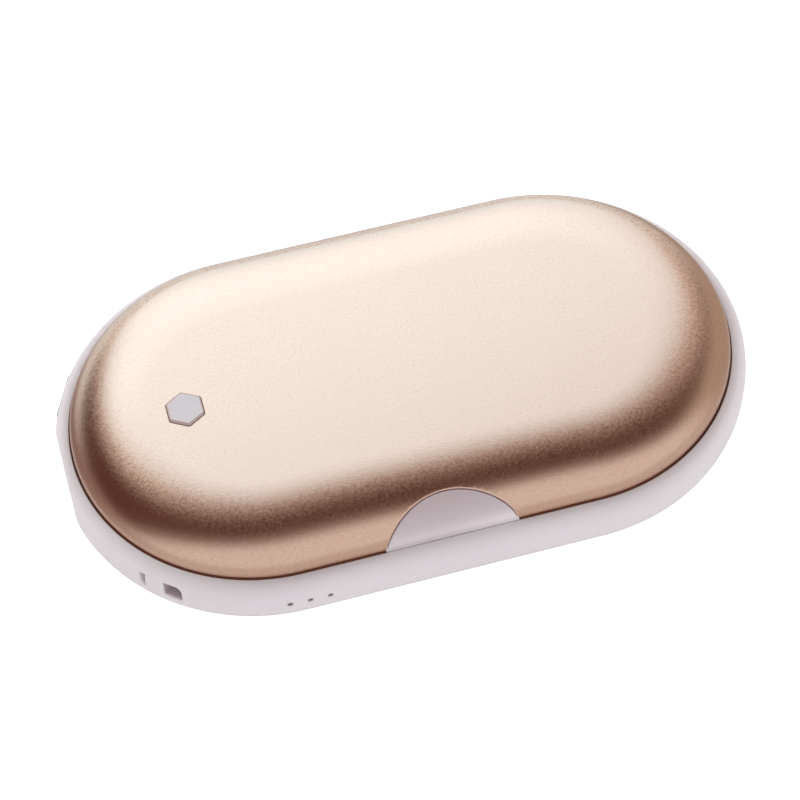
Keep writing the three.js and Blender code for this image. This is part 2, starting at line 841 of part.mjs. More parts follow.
function insulationPad(side) {
  const low = side > 0 ? padBottom : -filmBottom;
  return slab(filmOutline(padMargin), low, low + padThickness, filmSteps);
}

// Bead drawn about its own middle, lying along X
function thermistor() {
  const bead = new THREE.SphereGeometry(1, tinySteps, tinySteps / 2);
  bead.scale(beadLength / 2, beadRadius, beadRadius);
  return surface(solid(bead));
}

// Folded metal box of the wide socket, open at the mouth
function usbShell() {
  const outline = roundedRectangle(usbWidth, usbHeight, usbCornerRadius);
  const cavity = run(
    roundedRectangle(usbWidth - 2 * usbWall, usbHeight - 2 * usbWall, usbCornerRadius - usbWall),
    usbMouth - overrun,
    usbRear,
  );
  let shell = solid(run(outline, usbMouth, usbMouth + usbDepth)).subtract(solid(cavity));
  for (const y of [-windowSpacing / 2, windowSpacing / 2]) {
    const low = [usbMouth + windowFromMouth, y - windowWidth / 2, -usbHeight];
    const high = [usbMouth + windowFromMouth + windowLength, y + windowWidth / 2, 0];
    shell = shell.subtract(block(low, high));
  }
  return surface(shell);
}

// Insulator of the wide socket: a block at the back and the tongue in front of it
function usbTongue() {
  const drawnIn = 2 * usbWall + usbFit;
  const outline = roundedRectangle(usbWidth - drawnIn, usbHeight - drawnIn, usbCornerRadius - usbWall);
  const back = run(outline, usbRear - usbBlockDepth, usbRear - usbFit);
  const tongue = block(
    [usbMouth + usbTongueRecess, -usbTongueWidth / 2, tongueFloor],
    [usbRear - usbBlockDepth / 2, usbTongueWidth / 2, tongueFloor + usbTongueThickness],
  );
  return surface(solid(back).add(tongue));
}

function usbContact() {
  const rear = usbRear - usbBlockDepth;
  const top = tongueFloor + usbTongueThickness;
  const low = [rear - contactLength, -contactWidth / 2, top];
  return surface(block(low, [rear, contactWidth / 2, top + contactThickness]));
}

// The charging inlet is drawn with its mouth towards +X and turned onto the port end
function inletShell() {
  const outer = solid(run(inletShape(0), inletRear, inletMouth));
  const cavity = solid(run(inletShape(-inletWall), inletRear + inletWall, inletMouth + overrun));
  return surface(outer.subtract(cavity));
}

function inletTongue() {
  const rear = inletRear + inletWall;
  const back = solid(run(inletShape(-inletWall - inletFit), rear + inletFit, rear + inletBlockDepth));
  const middle = boardBottom - inletHeight / 2;
  const tongue = block(
    [rear + inletBlockDepth / 2, -inletTongueWidth / 2, middle],
    [inletMouth - inletTongueRecess, inletTongueWidth / 2, middle + inletTongueThickness],
  );
  return surface(back.add(tongue));
}

// Clear bar under the lights, with a pin into each hole of the band
function lightGuide() {
  const outer = -endRadius + boardInset;
  const top = boardBottom - ledSize[2] - ledGap;
  let guide = block(
    [firstLight - lightBarMargin, outer, lightHeight - lightBarDrop],
    [lastLight + lightBarMargin, lightBarBack, top],
  );
  for (let light = 0; light < lightCount; light += 1) {
    const x = firstLight + light * lightPitch;
    const tip = lightPocketFace + lightPinGap;
    guide = guide.add(peg(lightPinRadius, x, lightHeight, tip, lightBarBack, tinySteps));
  }
  return surface(guide);
}

// Moulded part with rounded upright edges, standing on the board
function boardPart([length, width, height], round) {
  return slab(roundedRectangle(length, width, round), boardTop, boardTop + height, cornerSteps);
}

// Finishes
const roseMetal = { color: 0xd9b49a, roughness: 0.35, metalness: 1 };
const paleBand = { color: 0xe4dcdf, roughness: 0.45, metalness: 0 };
const paleInlay = { color: 0xd2c8cb, roughness: 0.45, metalness: 0 };
const buttonGrey = { color: 0xcdc8cb, roughness: 0.4, metalness: 0 };
const chassisWhite = { color: 0xe6e6e2, roughness: 0.6, metalness: 0 };
const brightMetal = { color: 0xc8cacc, roughness: 0.3, metalness: 1 };
const cellSleeve = { color: 0x3f7fae, roughness: 0.4, metalness: 0 };
const boardGreen = { color: 0x1f6b45, roughness: 0.5, metalness: 0 };
const darkPlastic = { color: 0x1b1b1d, roughness: 0.5, metalness: 0 };
const filmAmber = { color: 0xb8742a, roughness: 0.4, metalness: 0 };
const padGrey = { color: 0xb9bcc0, roughness: 0.9, metalness: 0 };
const leadBlack = { color: 0x18181a, roughness: 0.5, metalness: 0 };
const goldContact = { color: 0xd8b35a, roughness: 0.3, metalness: 1 };
const clearGuide = { color: 0xf2f4f6, roughness: 0.1, metalness: 0, transparent: true, opacity: 0.6 };
const lightWhite = { color: 0xf4f4ea, roughness: 0.3, metalness: 0 };
const beadBrown = { color: 0x5a3b22, roughness: 0.4, metalness: 0 };
const capacitorTan = { color: 0xb89b6e, roughness: 0.5, metalness: 0 };
const ferriteGrey = { color: 0x4b4c50, roughness: 0.7, metalness: 0 };

// The whole object stands on its underside, centred between its two ends
const handWarmer = new THREE.Group();
handWarmer.position.set(-portFlatDepth / 2, 0, halfThickness);

function add(name, geometry, finish, place = [0, 0, 0], parent = handWarmer) {
  const mesh = new THREE.Mesh(geometry, new THREE.MeshStandardMaterial(finish));
  mesh.name = name;
  mesh.position.set(...place);
  parent.add(mesh);
  return mesh;
}

add("top_shell", topShell(), roseMetal);
add("bottom_shell", plainShell(), roseMetal).rotation.x = Math.PI;
add("mid_frame", midFrame(), paleBand);
add("half_moon_inlay", halfMoonInlay(), paleInlay);

add("power_button", powerButton(), buttonGrey, [buttonX, 0, 0]);
add("switch_plunger", switchPlunger(), darkPlastic, [buttonX, 0, 0]);
add("switch_body", switchBody(), brightMetal, [buttonX, 0, 0]);

add("inner_chassis", innerChassis(), chassisWhite);
chassisScrews.forEach(([x, y], index) => {
  add(`chassis_screw_${index + 1}`, screw(plateThickness + screwBite), brightMetal, [x, y, plateTop]);
});

add("main_board", mainBoard(), boardGreen);
boardScrews.forEach(([x, y], index) => {
  add(`board_screw_${index + 1}`, screw(boardThickness + screwBite), brightMetal, [x, y, boardTop]);
});
const onBoard = ([along, across]) => [portEnd + along * boardRearLength, across * endRadius, 0];
add("charge_controller_chip", boardPart(chipSize, chipRound), darkPlastic, onBoard(chipShares));
add("heater_transistor", boardPart(transistorSize, chipRound), darkPlastic, onBoard(transistorShares));
add("inductor", boardPart(inductorSize, inductorRound), ferriteGrey, onBoard(inductorShares));
capacitorPlaceShares.forEach((shares, index) => {
  add(`capacitor_${index + 1}`, boardPart(capacitorSize, chipRound), capacitorTan, onBoard(shares));
});

add("usb_a_shell", usbShell(), brightMetal);
add("usb_a_tongue", usbTongue(), darkPlastic);
for (let contact = 0; contact < contactCount; contact += 1) {
  const y = (contact - (contactCount - 1) / 2) * contactPitch;
  add(`usb_a_contact_${contact + 1}`, usbContact(), goldContact, [0, y, 0]);
}

const inlet = new THREE.Group();
inlet.position.set(-endCentre, 0, 0);
inlet.rotation.z = inletAngle;
handWarmer.add(inlet);
add("micro_usb_shell", inletShell(), brightMetal, [0, 0, 0], inlet);
add("micro_usb_tongue", inletTongue(), darkPlastic, [0, 0, 0], inlet);

add("led_light_guide", lightGuide(), clearGuide);
for (let light = 0; light < lightCount; light += 1) {
  const [length, width, height] = ledSize;
  const y = (-endRadius + boardInset + lightBarBack) / 2;
  const led = block([-length / 2, -width / 2, -height], [length / 2, width / 2, 0]);
  add(`led_${light + 1}`, surface(led), lightWhite, [firstLight + light * lightPitch, y, boardBottom]);
}

add("battery_cell_1", batteryCell(), cellSleeve, [cellFront, -cellSide, 0]);
add("battery_cell_2", batteryCell(), cellSleeve, [cellFront, cellSide, 0]);
add("nickel_strip_front", frontStrip(), brightMetal);
add("nickel_strip_rear", rearStrip(), brightMetal);
add("battery_lead", batteryLead(), leadBlack);

add("top_heater_film", heaterFilm(1), filmAmber);
add("bottom_heater_film", heaterFilm(-1), filmAmber);
add("top_insulation_pad", insulationPad(1), padGrey);
add("bottom_insulation_pad", insulationPad(-1), padGrey);
const beadX = (cellFront + cellRear) / 2;
const beadHeight = padBottom - beadGap - beadRadius;
add("top_thermistor", thermistor(), beadBrown, [beadX, 0, beadHeight]);
add("bottom_thermistor", thermistor(), beadBrown, [beadX, 0, -beadHeight]);

export default handWarmer;
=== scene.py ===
"""Looks of a rechargeable hand warmer: two bead-blasted metal domes on a pale moulded band."""

import math

import bmesh
import bpy
import numpy as np
from mathutils import Matrix, Vector


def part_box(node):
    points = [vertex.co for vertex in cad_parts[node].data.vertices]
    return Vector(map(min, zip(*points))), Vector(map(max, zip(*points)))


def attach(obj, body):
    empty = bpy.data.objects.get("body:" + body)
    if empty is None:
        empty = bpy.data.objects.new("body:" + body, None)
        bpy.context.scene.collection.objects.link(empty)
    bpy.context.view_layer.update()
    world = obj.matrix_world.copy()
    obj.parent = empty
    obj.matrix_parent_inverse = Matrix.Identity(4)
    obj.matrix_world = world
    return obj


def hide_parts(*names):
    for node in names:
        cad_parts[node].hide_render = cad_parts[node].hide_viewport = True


bl_info = {
    "name": "Hand Warmer Looks",
    "version": (1, 0, 0),
    "blender": (4, 5, 0),
    "location": "View3D > Sidebar > Hand Warmer",
    "description": "Builds the visible skins, finishes and studio of a rechargeable hand warmer",
    "category": "Object",
}

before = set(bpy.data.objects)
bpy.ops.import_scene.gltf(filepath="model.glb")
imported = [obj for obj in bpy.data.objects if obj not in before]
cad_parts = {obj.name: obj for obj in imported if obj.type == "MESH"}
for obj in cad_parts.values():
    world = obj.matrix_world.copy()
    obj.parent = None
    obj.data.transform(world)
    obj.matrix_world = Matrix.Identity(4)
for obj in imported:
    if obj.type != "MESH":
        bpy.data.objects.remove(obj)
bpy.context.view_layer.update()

MM = 0.001

# Read off the frame, in metres. The body is symmetric about a middle plane and has round ends.
band_low, band_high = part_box("mid_frame")
shell_low, shell_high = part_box("top_shell")
button_low, button_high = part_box("power_button")
MID_X = (shell_low.x + shell_high.x) / 2
MID_Z = (band_low.z + band_high.z) / 2
END_RADIUS = (band_high.y - band_low.y) / 2
END_REACH = band_high.x - MID_X - END_RADIUS
RIM_INSET = END_RADIUS - (shell_high.y - shell_low.y) / 2
CROWN = shell_high.z - MID_Z
SEAT = shell_low.z - MID_Z
RIB_TOP = band_high.z - MID_Z
PORT_FACE = band_low.x
BUTTON_X = (button_low.x + button_high.x) / 2
BUTTON_TOP = button_high.z

# Powers of the superellipses that the domes and the band follow in section.
DOME_POWER = 2.4
BAND_POWER = 2.8

# Edges sharper than this many degrees stay sharp.
CREASE = 35
MOULDED_CREASE = 50

# Mark on the metal's points that lie in a cut: 0 on the outer surface, 1 inside.
CUT_EDGE = "cut_edge"

# First ring of a dome's flat crown, and the room round a socket in the mouth of its port.
CROWN_START = 14.6 * MM
PORT_FIT = 0.15 * MM

# Where the halving looks for a surface: from a flat seat beside it, from the tilted seat of the
# half moon and from the centre of a round end.
BESIDE_SEAT = (-2 * MM, 2 * MM)
MOON_SEARCH = (-8 * MM, 8 * MM)
ROUND_END = (END_RADIUS - 3 * MM, END_RADIUS + 2 * MM)


def tint(red, green, blue):
    """Screen colour from 0 to 255 as the linear values that shaders use."""
    shares = [value / 255 for value in (red, green, blue)]
    return tuple(s / 12.92 if s <= 0.04045 else ((s + 0.055) / 1.055) ** 2.4 for s in shares)


def length(name, description, millimetres):
    """Length property with its default in millimetres."""
    return bpy.props.FloatProperty(
        name=name, description=description, default=millimetres * MM, unit="LENGTH", precision=5
    )


def angle(name, description, degrees):
    """Angle property with its default in degrees."""
    return bpy.props.FloatProperty(
        name=name, description=description, default=math.radians(degrees), unit="ROTATION"
    )


def colour(name, description, default):
    """Colour property."""
    return bpy.props.FloatVectorProperty(
        name=name, description=description, default=default, subtype="COLOR", size=3, min=0, max=1
    )


class WarmerSizes(bpy.types.PropertyGroup):
    """Sizes of the visible skins."""

    shoulder: length("Shoulder width", "From the rim of a dome to its flat crown", 13.3)
    seam: length("Seam height", "From the middle plane to the foot of a dome", 4.3)
    wall: length("Shell wall", "Thickness of the metal", 0.75)
    seam_gap: length("Seam gap", "Between the skirt of a dome and the band", 0.2)
    groove_fit: length("Groove fit", "Between the skirt and the rib inside it", 0.15)
    rib: length("Rib wall", "Thickness of the band's inner rib", 0.9)
    band_crest: length("Crest rounding", "Rounding of the band beside the seam", 0.16)
    hole_edge: length("Hole edge rounding", "Rounding of the button's hole in the metal", 0.08)
    notch_edge: length("Notch edge rounding", "Rounding of the half-moon notch in the metal", 0.27)
    moon_chord: length("Half-moon chord", "Width of the notch at the rim", 21.4)
    moon_rise: length("Half-moon rise", "Height of the notch up the shoulder", 7.0)
    moon_tilt: angle("Half-moon tilt", "Slope of the plane that the notch is drawn in", 45)
    moon_gap: length("Half-moon gap", "Between the inlay and the metal", 0.12)
    moon_sink: length("Half-moon sink", "Inlay below the metal's surface", 0.1)
    button: length("Button radius", "From the middle of the button to a corner", 3.12)
    button_gap: length("Button gap", "Between the button and the metal", 0.1)
    button_chamfer: length("Button chamfer", "Width of the slope round its top", 0.24)
    light_hole: length("Light hole radius", "Radius of each status light hole", 0.45)
    light_pitch: length("Light pitch", "Between two status lights", 3.1)
    light_height: length("Light height", "Status lights above the middle plane", 0.2)
    light_ahead: length("First light", "Beyond the centre of the port end", 2.75)
    anchor_angle: angle("Anchor angle", "Direction of the cord anchor on the port end", -133.15)
    anchor_bar: length("Anchor bar width", "Width of the bar that a cord goes round", 3.1)
    anchor_pocket: length("Anchor pocket width", "Width of the pocket beside the bar", 3.0)
    anchor_depth: length("Anchor depth", "Depth of the pockets", 3.2)
    anchor_low: length("Anchor foot", "Lower edge of the pockets over the middle plane", -0.6)
    anchor_high: length("Anchor top", "Upper edge of the pockets over the middle plane", 2.4)


class WarmerColours(bpy.types.PropertyGroup):
    """Colours of the finishes."""

    # The crown colour is the skirt's metal made paler by a painted highlight.
    crown: colour("Metal crown", "Anodised metal on the flat crown", tint(247, 229, 213))
    skirt: colour("Metal skirt", "Anodised metal on the drawn shoulder", tint(238, 203, 178))
    band: colour("Band", "Plastic of the band", tint(234, 229, 232))
    inlay: colour("Inlay", "Plastic of the half-moon inlay", tint(216, 205, 209))
    button: colour("Button", "Plastic of the button", tint(230, 228, 232))
    floor: colour("Floor", "Plain pale floor", tint(247, 246, 246))


def sizes():
    return bpy.context.scene.warmer_sizes


def colours():
    return bpy.context.scene.warmer_colours


class Field:
    """Value at a socket of a node tree, which takes part in plain sums."""

    def __init__(self, finish, socket):
        self.finish = finish
        self.socket = socket

    def math(self, operation, other=0.0, flipped=False):
        """Math node on this value and another, which comes first when they are flipped."""
        first, second = (other, self) if flipped else (self, other)
        return self.finish.node("ShaderNodeMath", {"operation": operation}, {0: first, 1: second})

    def __add__(self, other):
        return self.math("ADD", other)

    __radd__ = __add__

    def __sub__(self, other):
        return self.math("SUBTRACT", other)

    def __rsub__(self, other):
        return self.math("SUBTRACT", other, flipped=True)

    def __mul__(self, other):
        return self.math("MULTIPLY", other)

    __rmul__ = __mul__

    def __truediv__(self, other):
        return self.math("DIVIDE", other)

    def __abs__(self):
        return self.math("ABSOLUTE")

    def clamp(self):
        return self.finish.node("ShaderNodeClamp", {}, {0: self})


class Finish:
    """A material, a light or the world, being built from nodes."""

    def __init__(self, name, owner=None):
        self.owner = owner or bpy.data.materials.new(name)
        self.owner.use_nodes = True
        self.tree = self.owner.node_tree
        self.tree.nodes.clear()

    def node(self, kind, settings, inputs, output=0):
        """New node: its settings first, then values or links of its sockets."""
        made = self.tree.nodes.new(kind)
        for name, value in settings.items():
            setattr(made, name, value)
        for name, value in inputs.items():
            if isinstance(value, Field):
                self.tree.links.new(value.socket, made.inputs[name])
            else:
                made.inputs[name].default_value = value
        return Field(self, made.outputs[output]) if made.outputs else None

    def place(self):
        """Place on the piece, in metres."""
        return self.node("ShaderNodeTexCoord", {}, {}, "Object")

    def facing(self):
        """Direction that the surface faces."""
        return self.node("ShaderNodeNewGeometry", {}, {}, "Normal")

    def ray(self, kind):
        """1 where the light path is of a kind, such as Camera or Glossy, and otherwise 0."""
        return self.node("ShaderNodeLightPath", {}, {}, f"Is {kind} Ray")

    def axes(self, vector, names):
        """Parts of a vector along the named axes."""
        return [self.node("ShaderNodeSeparateXYZ", {}, {"Vector": vector}, name) for name in names]

    def noise(self, size, detail=2.0, roughness=0.5):
        """Soft uneven values from 0 to 1, with features of about that size in metres."""
        grain = {"Scale": 1 / size, "Detail": detail, "Roughness": roughness}
        return self.node("ShaderNodeTexNoise", {}, {"Vector": self.place(), **grain})

    def mix(self, factor, first, second):
        """Blend of two colours."""
        inputs = {0: factor, 6: self.solid(first), 7: self.solid(second)}
        return self.node("ShaderNodeMix", {"data_type": "RGBA"}, inputs, 2)

    @staticmethod
    def solid(shade):
        """Colour with the opacity that a colour socket takes. A linked one stays as it is."""
        return shade if isinstance(shade, Field) else (*shade, 1.0)

    def step(self, value, start, end):
        """Smooth rise from 0 to 1 between two values."""
        inputs = {"Value": value, "From Min": start, "From Max": end}
        return self.node("ShaderNodeMapRange", {"interpolation_type": "SMOOTHSTEP"}, inputs)

    def bump(self, height, distance, strength):
        """Surface relief from a height field."""
        inputs = {"Height": height, "Distance": distance, "Strength": strength}
        return self.node("ShaderNodeBump", {}, inputs)

    def surface(self, **inputs):
        """Ends the material with a principled shader. Underscores stand for spaces."""
        named = {key.replace("_", " "): value for key, value in inputs.items()}
        shader = self.node("ShaderNodeBsdfPrincipled", {}, named)
        self.node("ShaderNodeOutputMaterial", {}, {"Surface": shader})
        return self.owner


def rose_aluminium():
    """Bead-blasted and anodised metal. A painted highlight makes the crown paler, a painted shade
    makes the skirt in the seam darker, and the cut edges of the holes and the notch are bare metal
    with a painted highlight."""
    finish = Finish("rose_aluminium")
    dark_grit, bright_grit = tint(150, 102, 80), tint(255, 242, 226)
    painted_seam_shade, cut_metal_and_highlight = tint(180, 100, 76), tint(246, 208, 196)

    # Painted highlight: the crown's paler colour stands for the light on it, and reaches further
    # down at the back, towards the light, than in front.
    back, upright = finish.axes(finish.facing(), "YZ")
    level = abs(upright) + back * 0.2
    below = finish.step(upright, -0.1, -0.4)
    crown = finish.step(level, 0.962, 1.0) * (1 - below * 0.5)
    shade = finish.mix(crown, colours().skirt, colours().crown)

    # Grit of the blasting, which shows most where the crown turns into the shoulder.
    grit = finish.noise(0.42 * MM, 2.0, 0.65)
    swing = finish.step(level, 0.995, 0.96) * finish.step(level, 0.84, 0.93) * 0.7 + 0.2
    swing = swing * (1 - below * 0.6)
    shade = finish.mix(((0.51 - grit) * swing * 2).clamp(), shade, dark_grit)
    shade = finish.mix(((grit - 0.54) * swing * 3).clamp(), shade, bright_grit)

    # Painted shade: the skirt in the seam is darker and duller than the blasted surface. The cut
    # edges are duller too.
    height = abs(finish.axes(finish.place(), "Z")[0] - MID_Z)
    foot = finish.step(height, sizes().seam + 0.03 * MM, sizes().seam - 0.06 * MM)
    shade = finish.mix(foot * 0.9, shade, painted_seam_shade)
    # The cut edges are bare metal, made paler by a painted highlight.
    cut = finish.node("ShaderNodeAttribute", {"attribute_name": CUT_EDGE}, {}, "Fac")
    shade = finish.mix(cut, shade, cut_metal_and_highlight)
    plain = (cut * 0.45).math("MAXIMUM", foot * 0.85)

    patches = finish.noise(14 * MM, 3.0)
    blast = finish.noise(0.2 * MM, 3.0, 0.7)
    fine = finish.noise(0.09 * MM, 2.0, 0.6)
    return finish.surface(
        Base_Color=shade,
        Metallic=1.0 - plain,
        Roughness=0.21 + (blast - 0.5) * 0.16 + (patches - 0.5) * 0.04,
        Normal=finish.bump(blast * 0.6 + fine * 0.4, 0.035 * MM, 0.8),
    )


def moulded(name, shade, shadow, roughness, subsurface=0.0, paint_light=None):
    """Satin moulded plastic with a faint cloudiness and a fine tool texture, and any painted light
    and shade that a given function adds.
    """
    finish = Finish(name)
    cloud = finish.noise(9 * MM, 3.0)
    texture = finish.noise(0.16 * MM, 2.0)
    dye_and_painted_light = finish.mix((cloud - 0.35).clamp() * 0.5, shade, shadow)
    if paint_light:
        dye_and_painted_light = paint_light(finish, dye_and_painted_light)
    return finish.surface(
        Base_Color=dye_and_painted_light,
        Roughness=roughness + (texture - 0.5) * 0.12,
        Subsurface_Weight=subsurface,
        Subsurface_Radius=(1.0, 0.86, 0.86),
        Subsurface_Scale=1.2 * MM,
        Normal=finish.bump(texture, 0.004 * MM, 0.4),
    )


def band_painted_shade(finish, dye_and_painted_light):
    """Band: painted shade, deeper underneath and in its hollows, and dark in the grooves beside the
    shells.
    """
    painted_under_shade, painted_hollow_shade = tint(160, 154, 157), tint(196, 182, 185)
    painted_groove_shade = tint(150, 116, 106)
    x, y, z = finish.axes(finish.place(), "XYZ")
    beyond = (abs(x - MID_X) - END_REACH).math("MAXIMUM", 0.0)
    reach = (beyond * beyond + y * y).math("SQRT")
    height = abs(z - MID_Z)
    wall = END_RADIUS - RIM_INSET + sizes().seam_gap
    inside = finish.step(reach, wall + 0.05 * MM, wall + 0.01 * MM)
    groove = inside * finish.step(height, SEAT - 0.1 * MM, SEAT)
    hole = finish.step(reach, END_RADIUS - 1.05 * MM, END_RADIUS - 2.0 * MM)
    near_anchor = finish.step(y, -14 * MM, -16 * MM) * finish.step(x, -37 * MM, -38.5 * MM)
    pocket = finish.step(reach, END_RADIUS - 0.25 * MM, END_RADIUS - 0.5 * MM) * near_anchor
    hollow = hole.math("MAXIMUM", pocket) * finish.step(height, 2.75 * MM, 2.5 * MM)
    under = finish.step(finish.axes(finish.facing(), "Z")[0], -0.15, -0.5)
    # Painted shade underneath, in the hollows and in the grooves.
    dye_and_painted_light = finish.mix(under * 0.7, dye_and_painted_light, painted_under_shade)
    dye_and_painted_light = finish.mix(hollow * 0.85, dye_and_painted_light, painted_hollow_shade)
    return finish.mix(groove, dye_and_painted_light, painted_groove_shade)


def inlay_painted_light(finish, dye_and_painted_light):
    """Inlay: a painted highlight, paler towards its foot and towards one end, and painted shade,
    deeper towards its top.
    """
    painted_pale_light, painted_top_shade = tint(252, 243, 247), tint(196, 176, 178)
    x, z = finish.axes(finish.place(), "XZ")
    foot = MID_Z + sizes().seam
    pale = finish.step(z, foot + 3.2 * MM, foot + 0.1 * MM)
    side = finish.step(x, -2 * MM, 9 * MM)
    top = finish.step(z, foot + 3.0 * MM, foot + 5.6 * MM)
    # Painted light towards the foot and one end, painted shade towards the top.
    dye_and_painted_light = finish.mix((pale * 0.45 + side * pale * 0.5).clamp(), dye_and_painted_light, painted_pale_light)
    return finish.mix(top * 0.5, dye_and_painted_light, painted_top_shade)


def button_painted_shade(finish, dye_and_painted_light):
    """Button: painted shade, warmer and deeper on its sloped edges as a painted reflection of the
    metal, and dark below the metal's surface.
    """
    painted_slope_shade, painted_gap_shade = tint(206, 186, 184), tint(70, 50, 46)
    # Painted shade on the sloped edges, warmed as a painted reflection of the metal, and in the gap
    # under the metal's surface.
    back, upright = finish.axes(finish.facing(), "YZ")
    slope = finish.step(upright, 0.97, 0.7) * finish.step(back, 0.3, -0.1)
    height = finish.axes(finish.place(), "Z")[0]
    metal = MID_Z + CROWN
    sunk = finish.step(height, metal, metal - 0.08 * MM)
    return finish.mix(sunk, finish.mix(slope, dye_and_painted_light, painted_slope_shade), painted_gap_shade)


def sheet_steel(name, shade, roughness=0.28):
    """Rolled and plated sheet with fine lines along its length."""
    finish = Finish(name)
    length_scale, width_scale = 1 / (12 * MM), 1 / (0.12 * MM)
    stretch = {"Scale": (length_scale, width_scale, width_scale)}
    along = finish.node("ShaderNodeMapping", {}, {"Vector": finish.place(), **stretch})
    lines = finish.node("ShaderNodeTexNoise", {}, {"Vector": along, "Scale": 1.0, "Detail": 3.0})
    dull = tuple(value * 0.72 for value in shade)
    return finish.surface(
        Base_Color=finish.mix(lines, shade, dull),
        Metallic=1.0,
        Roughness=roughness + (lines - 0.5) * 0.2,
        Normal=finish.bump(lines, 0.004 * MM, 0.4),
    )


def board_laminate():
    """Green solder mask over faint copper tracks."""
    finish = Finish("board_laminate")
    grid = finish.node(
        "ShaderNodeTexBrick",
        {"offset": 0.5},
        {"Vector": finish.place(), "Scale": 1 / (4 * MM), "Mortar Size": 0.02},
        "Fac",
    )
    weave = finish.noise(0.5 * MM)
    return finish.surface(
        Base_Color=finish.mix(grid * 0.6, tint(22, 92, 58), tint(44, 128, 80)),
        Roughness=0.32 + weave * 0.1,
        Normal=finish.bump(grid + weave * 0.2, 0.02 * MM, 0.3),
    )


def speckled(name, first, second, size, roughness):
    """Two near screen colours in soft specks of a size in millimetres, for small inner parts."""
    finish = Finish(name)
    specks = finish.noise(size * MM, 3.0)
    return finish.surface(
        Base_Color=finish.mix(specks, tint(*first), tint(*second)),
        Roughness=roughness + (specks - 0.5) * 0.15,
        Normal=finish.bump(specks, 0.01 * MM, 0.4),
    )


# Speckled finishes of inner parts: two screen colours, the size of the specks in millimetres, the
# roughness, and the nodes that have the finish.
SPECKLED = {
    "ferrite": ((78, 80, 84), (62, 63, 66), 0.4, 0.7, ["inductor"]),
    "capacitor_body": (
        (190, 160, 112), (172, 140, 92), 0.8, 0.5, ["capacitor_1", "capacitor_2"]
    ),
    "led_lens": ((244, 244, 232), (232, 230, 205), 0.5, 0.2, ["led_1", "led_2", "led_3"]),
    "cell_sleeve": (
        (58, 122, 172), (50, 108, 156), 6, 0.3, ["battery_cell_1", "battery_cell_2"]
    ),
    "lead_insulation": ((26, 26, 28), (36, 36, 38), 0.6, 0.5, ["battery_lead"]),
    "pad_foam": (
        (186, 189, 193), (164, 167, 171), 0.5, 0.95, ["top_insulation_pad", "bottom_insulation_pad"]
    ),
    "epoxy_bead": ((92, 60, 34), (70, 44, 24), 0.8, 0.2, ["top_thermistor", "bottom_thermistor"]),
}


def heater_film():
    """Etched foil lines that show through amber film."""
    finish = Finish("heater_film")
    waves = finish.node(
        "ShaderNodeTexWave",
        {"bands_direction": "Y"},
        {"Vector": finish.place(), "Scale": 1 / (7 * MM), "Distortion": 0.0},
        "Fac",
    )
    foil = waves.math("GREATER_THAN", 0.45)
    return finish.surface(
        Base_Color=finish.mix(foil, tint(170, 104, 34), tint(206, 170, 120)),
        Metallic=foil * 0.5,
        Roughness=0.34 + foil * 0.1,
        Normal=finish.bump(foil, 0.02 * MM, 0.4),
    )


def ring(inset, places):
    """Body outline drawn in by an inset. Places run 0 to 1 round the far end, to 2 along the back,
    to 3 round the port end and to 4 along the front."""
    radius = END_RADIUS - inset
    leg = np.floor(places).astype(int) % 4
    share = places - np.floor(places)
    turn = (share - 0.5) * math.pi
    along = END_REACH * (2 * share - 1)
    bow, sweep = END_REACH + radius * np.cos(turn), radius * np.sin(turn)
    legs = [leg == 0, leg == 1, leg == 2]
    x = np.select(legs, [bow, -along, -bow], along)
    y = np.select(legs, [sweep, radius, -sweep], -radius)
    return np.stack([x + MID_X, y], axis=1)


def even_places(end_steps, side_steps):
    """Places round the body, evenly on each end and each side."""
    counts = [end_steps, side_steps, end_steps, side_steps]
    return np.concatenate([leg + np.arange(count) / count for leg, count in enumerate(counts)])


def level_row(inset, height, places):
    """Ring of points at an inset and a height over the middle plane."""
    flat = ring(inset, places)
    return np.column_stack([flat, np.full(len(flat), MID_Z + height)])


def quarter(inset, foot, width, rise, power, steps, end=math.pi / 2):
    """Quarter of a superellipse from its foot to its crown, as (inset, height) pairs."""
    turn = np.linspace(0, end, steps + 1)
    across = np.maximum(np.cos(turn), 0) ** (2 / power)
    up = np.sin(turn) ** (2 / power)
    return list(zip(inset + width * (1 - across), foot + rise * up))


def edge_distance(points):
    """Inset of points from the body outline, and the outward direction there."""
    x = points[:, 0] - MID_X
    axis = np.clip(x, -END_REACH, END_REACH)
    away = np.stack([x - axis, points[:, 1]], axis=1)
    reach = np.linalg.norm(away, axis=1)
    return END_RADIUS - reach, away / np.maximum(reach, 1e-9)[:, None]


def dome_level(depth):
    """Below zero inside the top dome drawn in by a depth, above zero outside."""
    width = sizes().shoulder - depth
    rise = CROWN - sizes().seam - depth

    def level(points):
        inset, _ = edge_distance(points)
        across = np.maximum((width - (inset - RIM_INSET - depth)) / width, 0)
        up = np.maximum((points[:, 2] - MID_Z - sizes().seam) / rise, 0)
        return across**DOME_POWER + up**DOME_POWER - 1

    return level


def dome_normals(points):
    """Outward directions of the dome's outer surface."""
    width = sizes().shoulder
    rise = CROWN - sizes().seam
    inset, out = edge_distance(points)
    across = np.clip((width - (inset - RIM_INSET)) / width, 0, 1) ** (DOME_POWER - 1) / width
    up = np.clip((points[:, 2] - MID_Z - sizes().seam) / rise, 0, 1) ** (DOME_POWER - 1) / rise
    normals = np.column_stack([out * across[:, None], up])
    return normals / np.maximum(np.linalg.norm(normals, axis=1), 1e-9)[:, None]


def band_level(points):
    """Below zero inside the band's outer surface, above zero outside."""
    inset, _ = edge_distance(points)
    across = np.maximum((RIM_INSET - inset) / RIM_INSET, 0)
    up = np.abs(points[:, 2] - MID_Z) / sizes().seam
    flat = (PORT_FACE - points[:, 0]) / RIM_INSET
    return np.maximum(across**BAND_POWER + up**BAND_POWER - 1, flat)


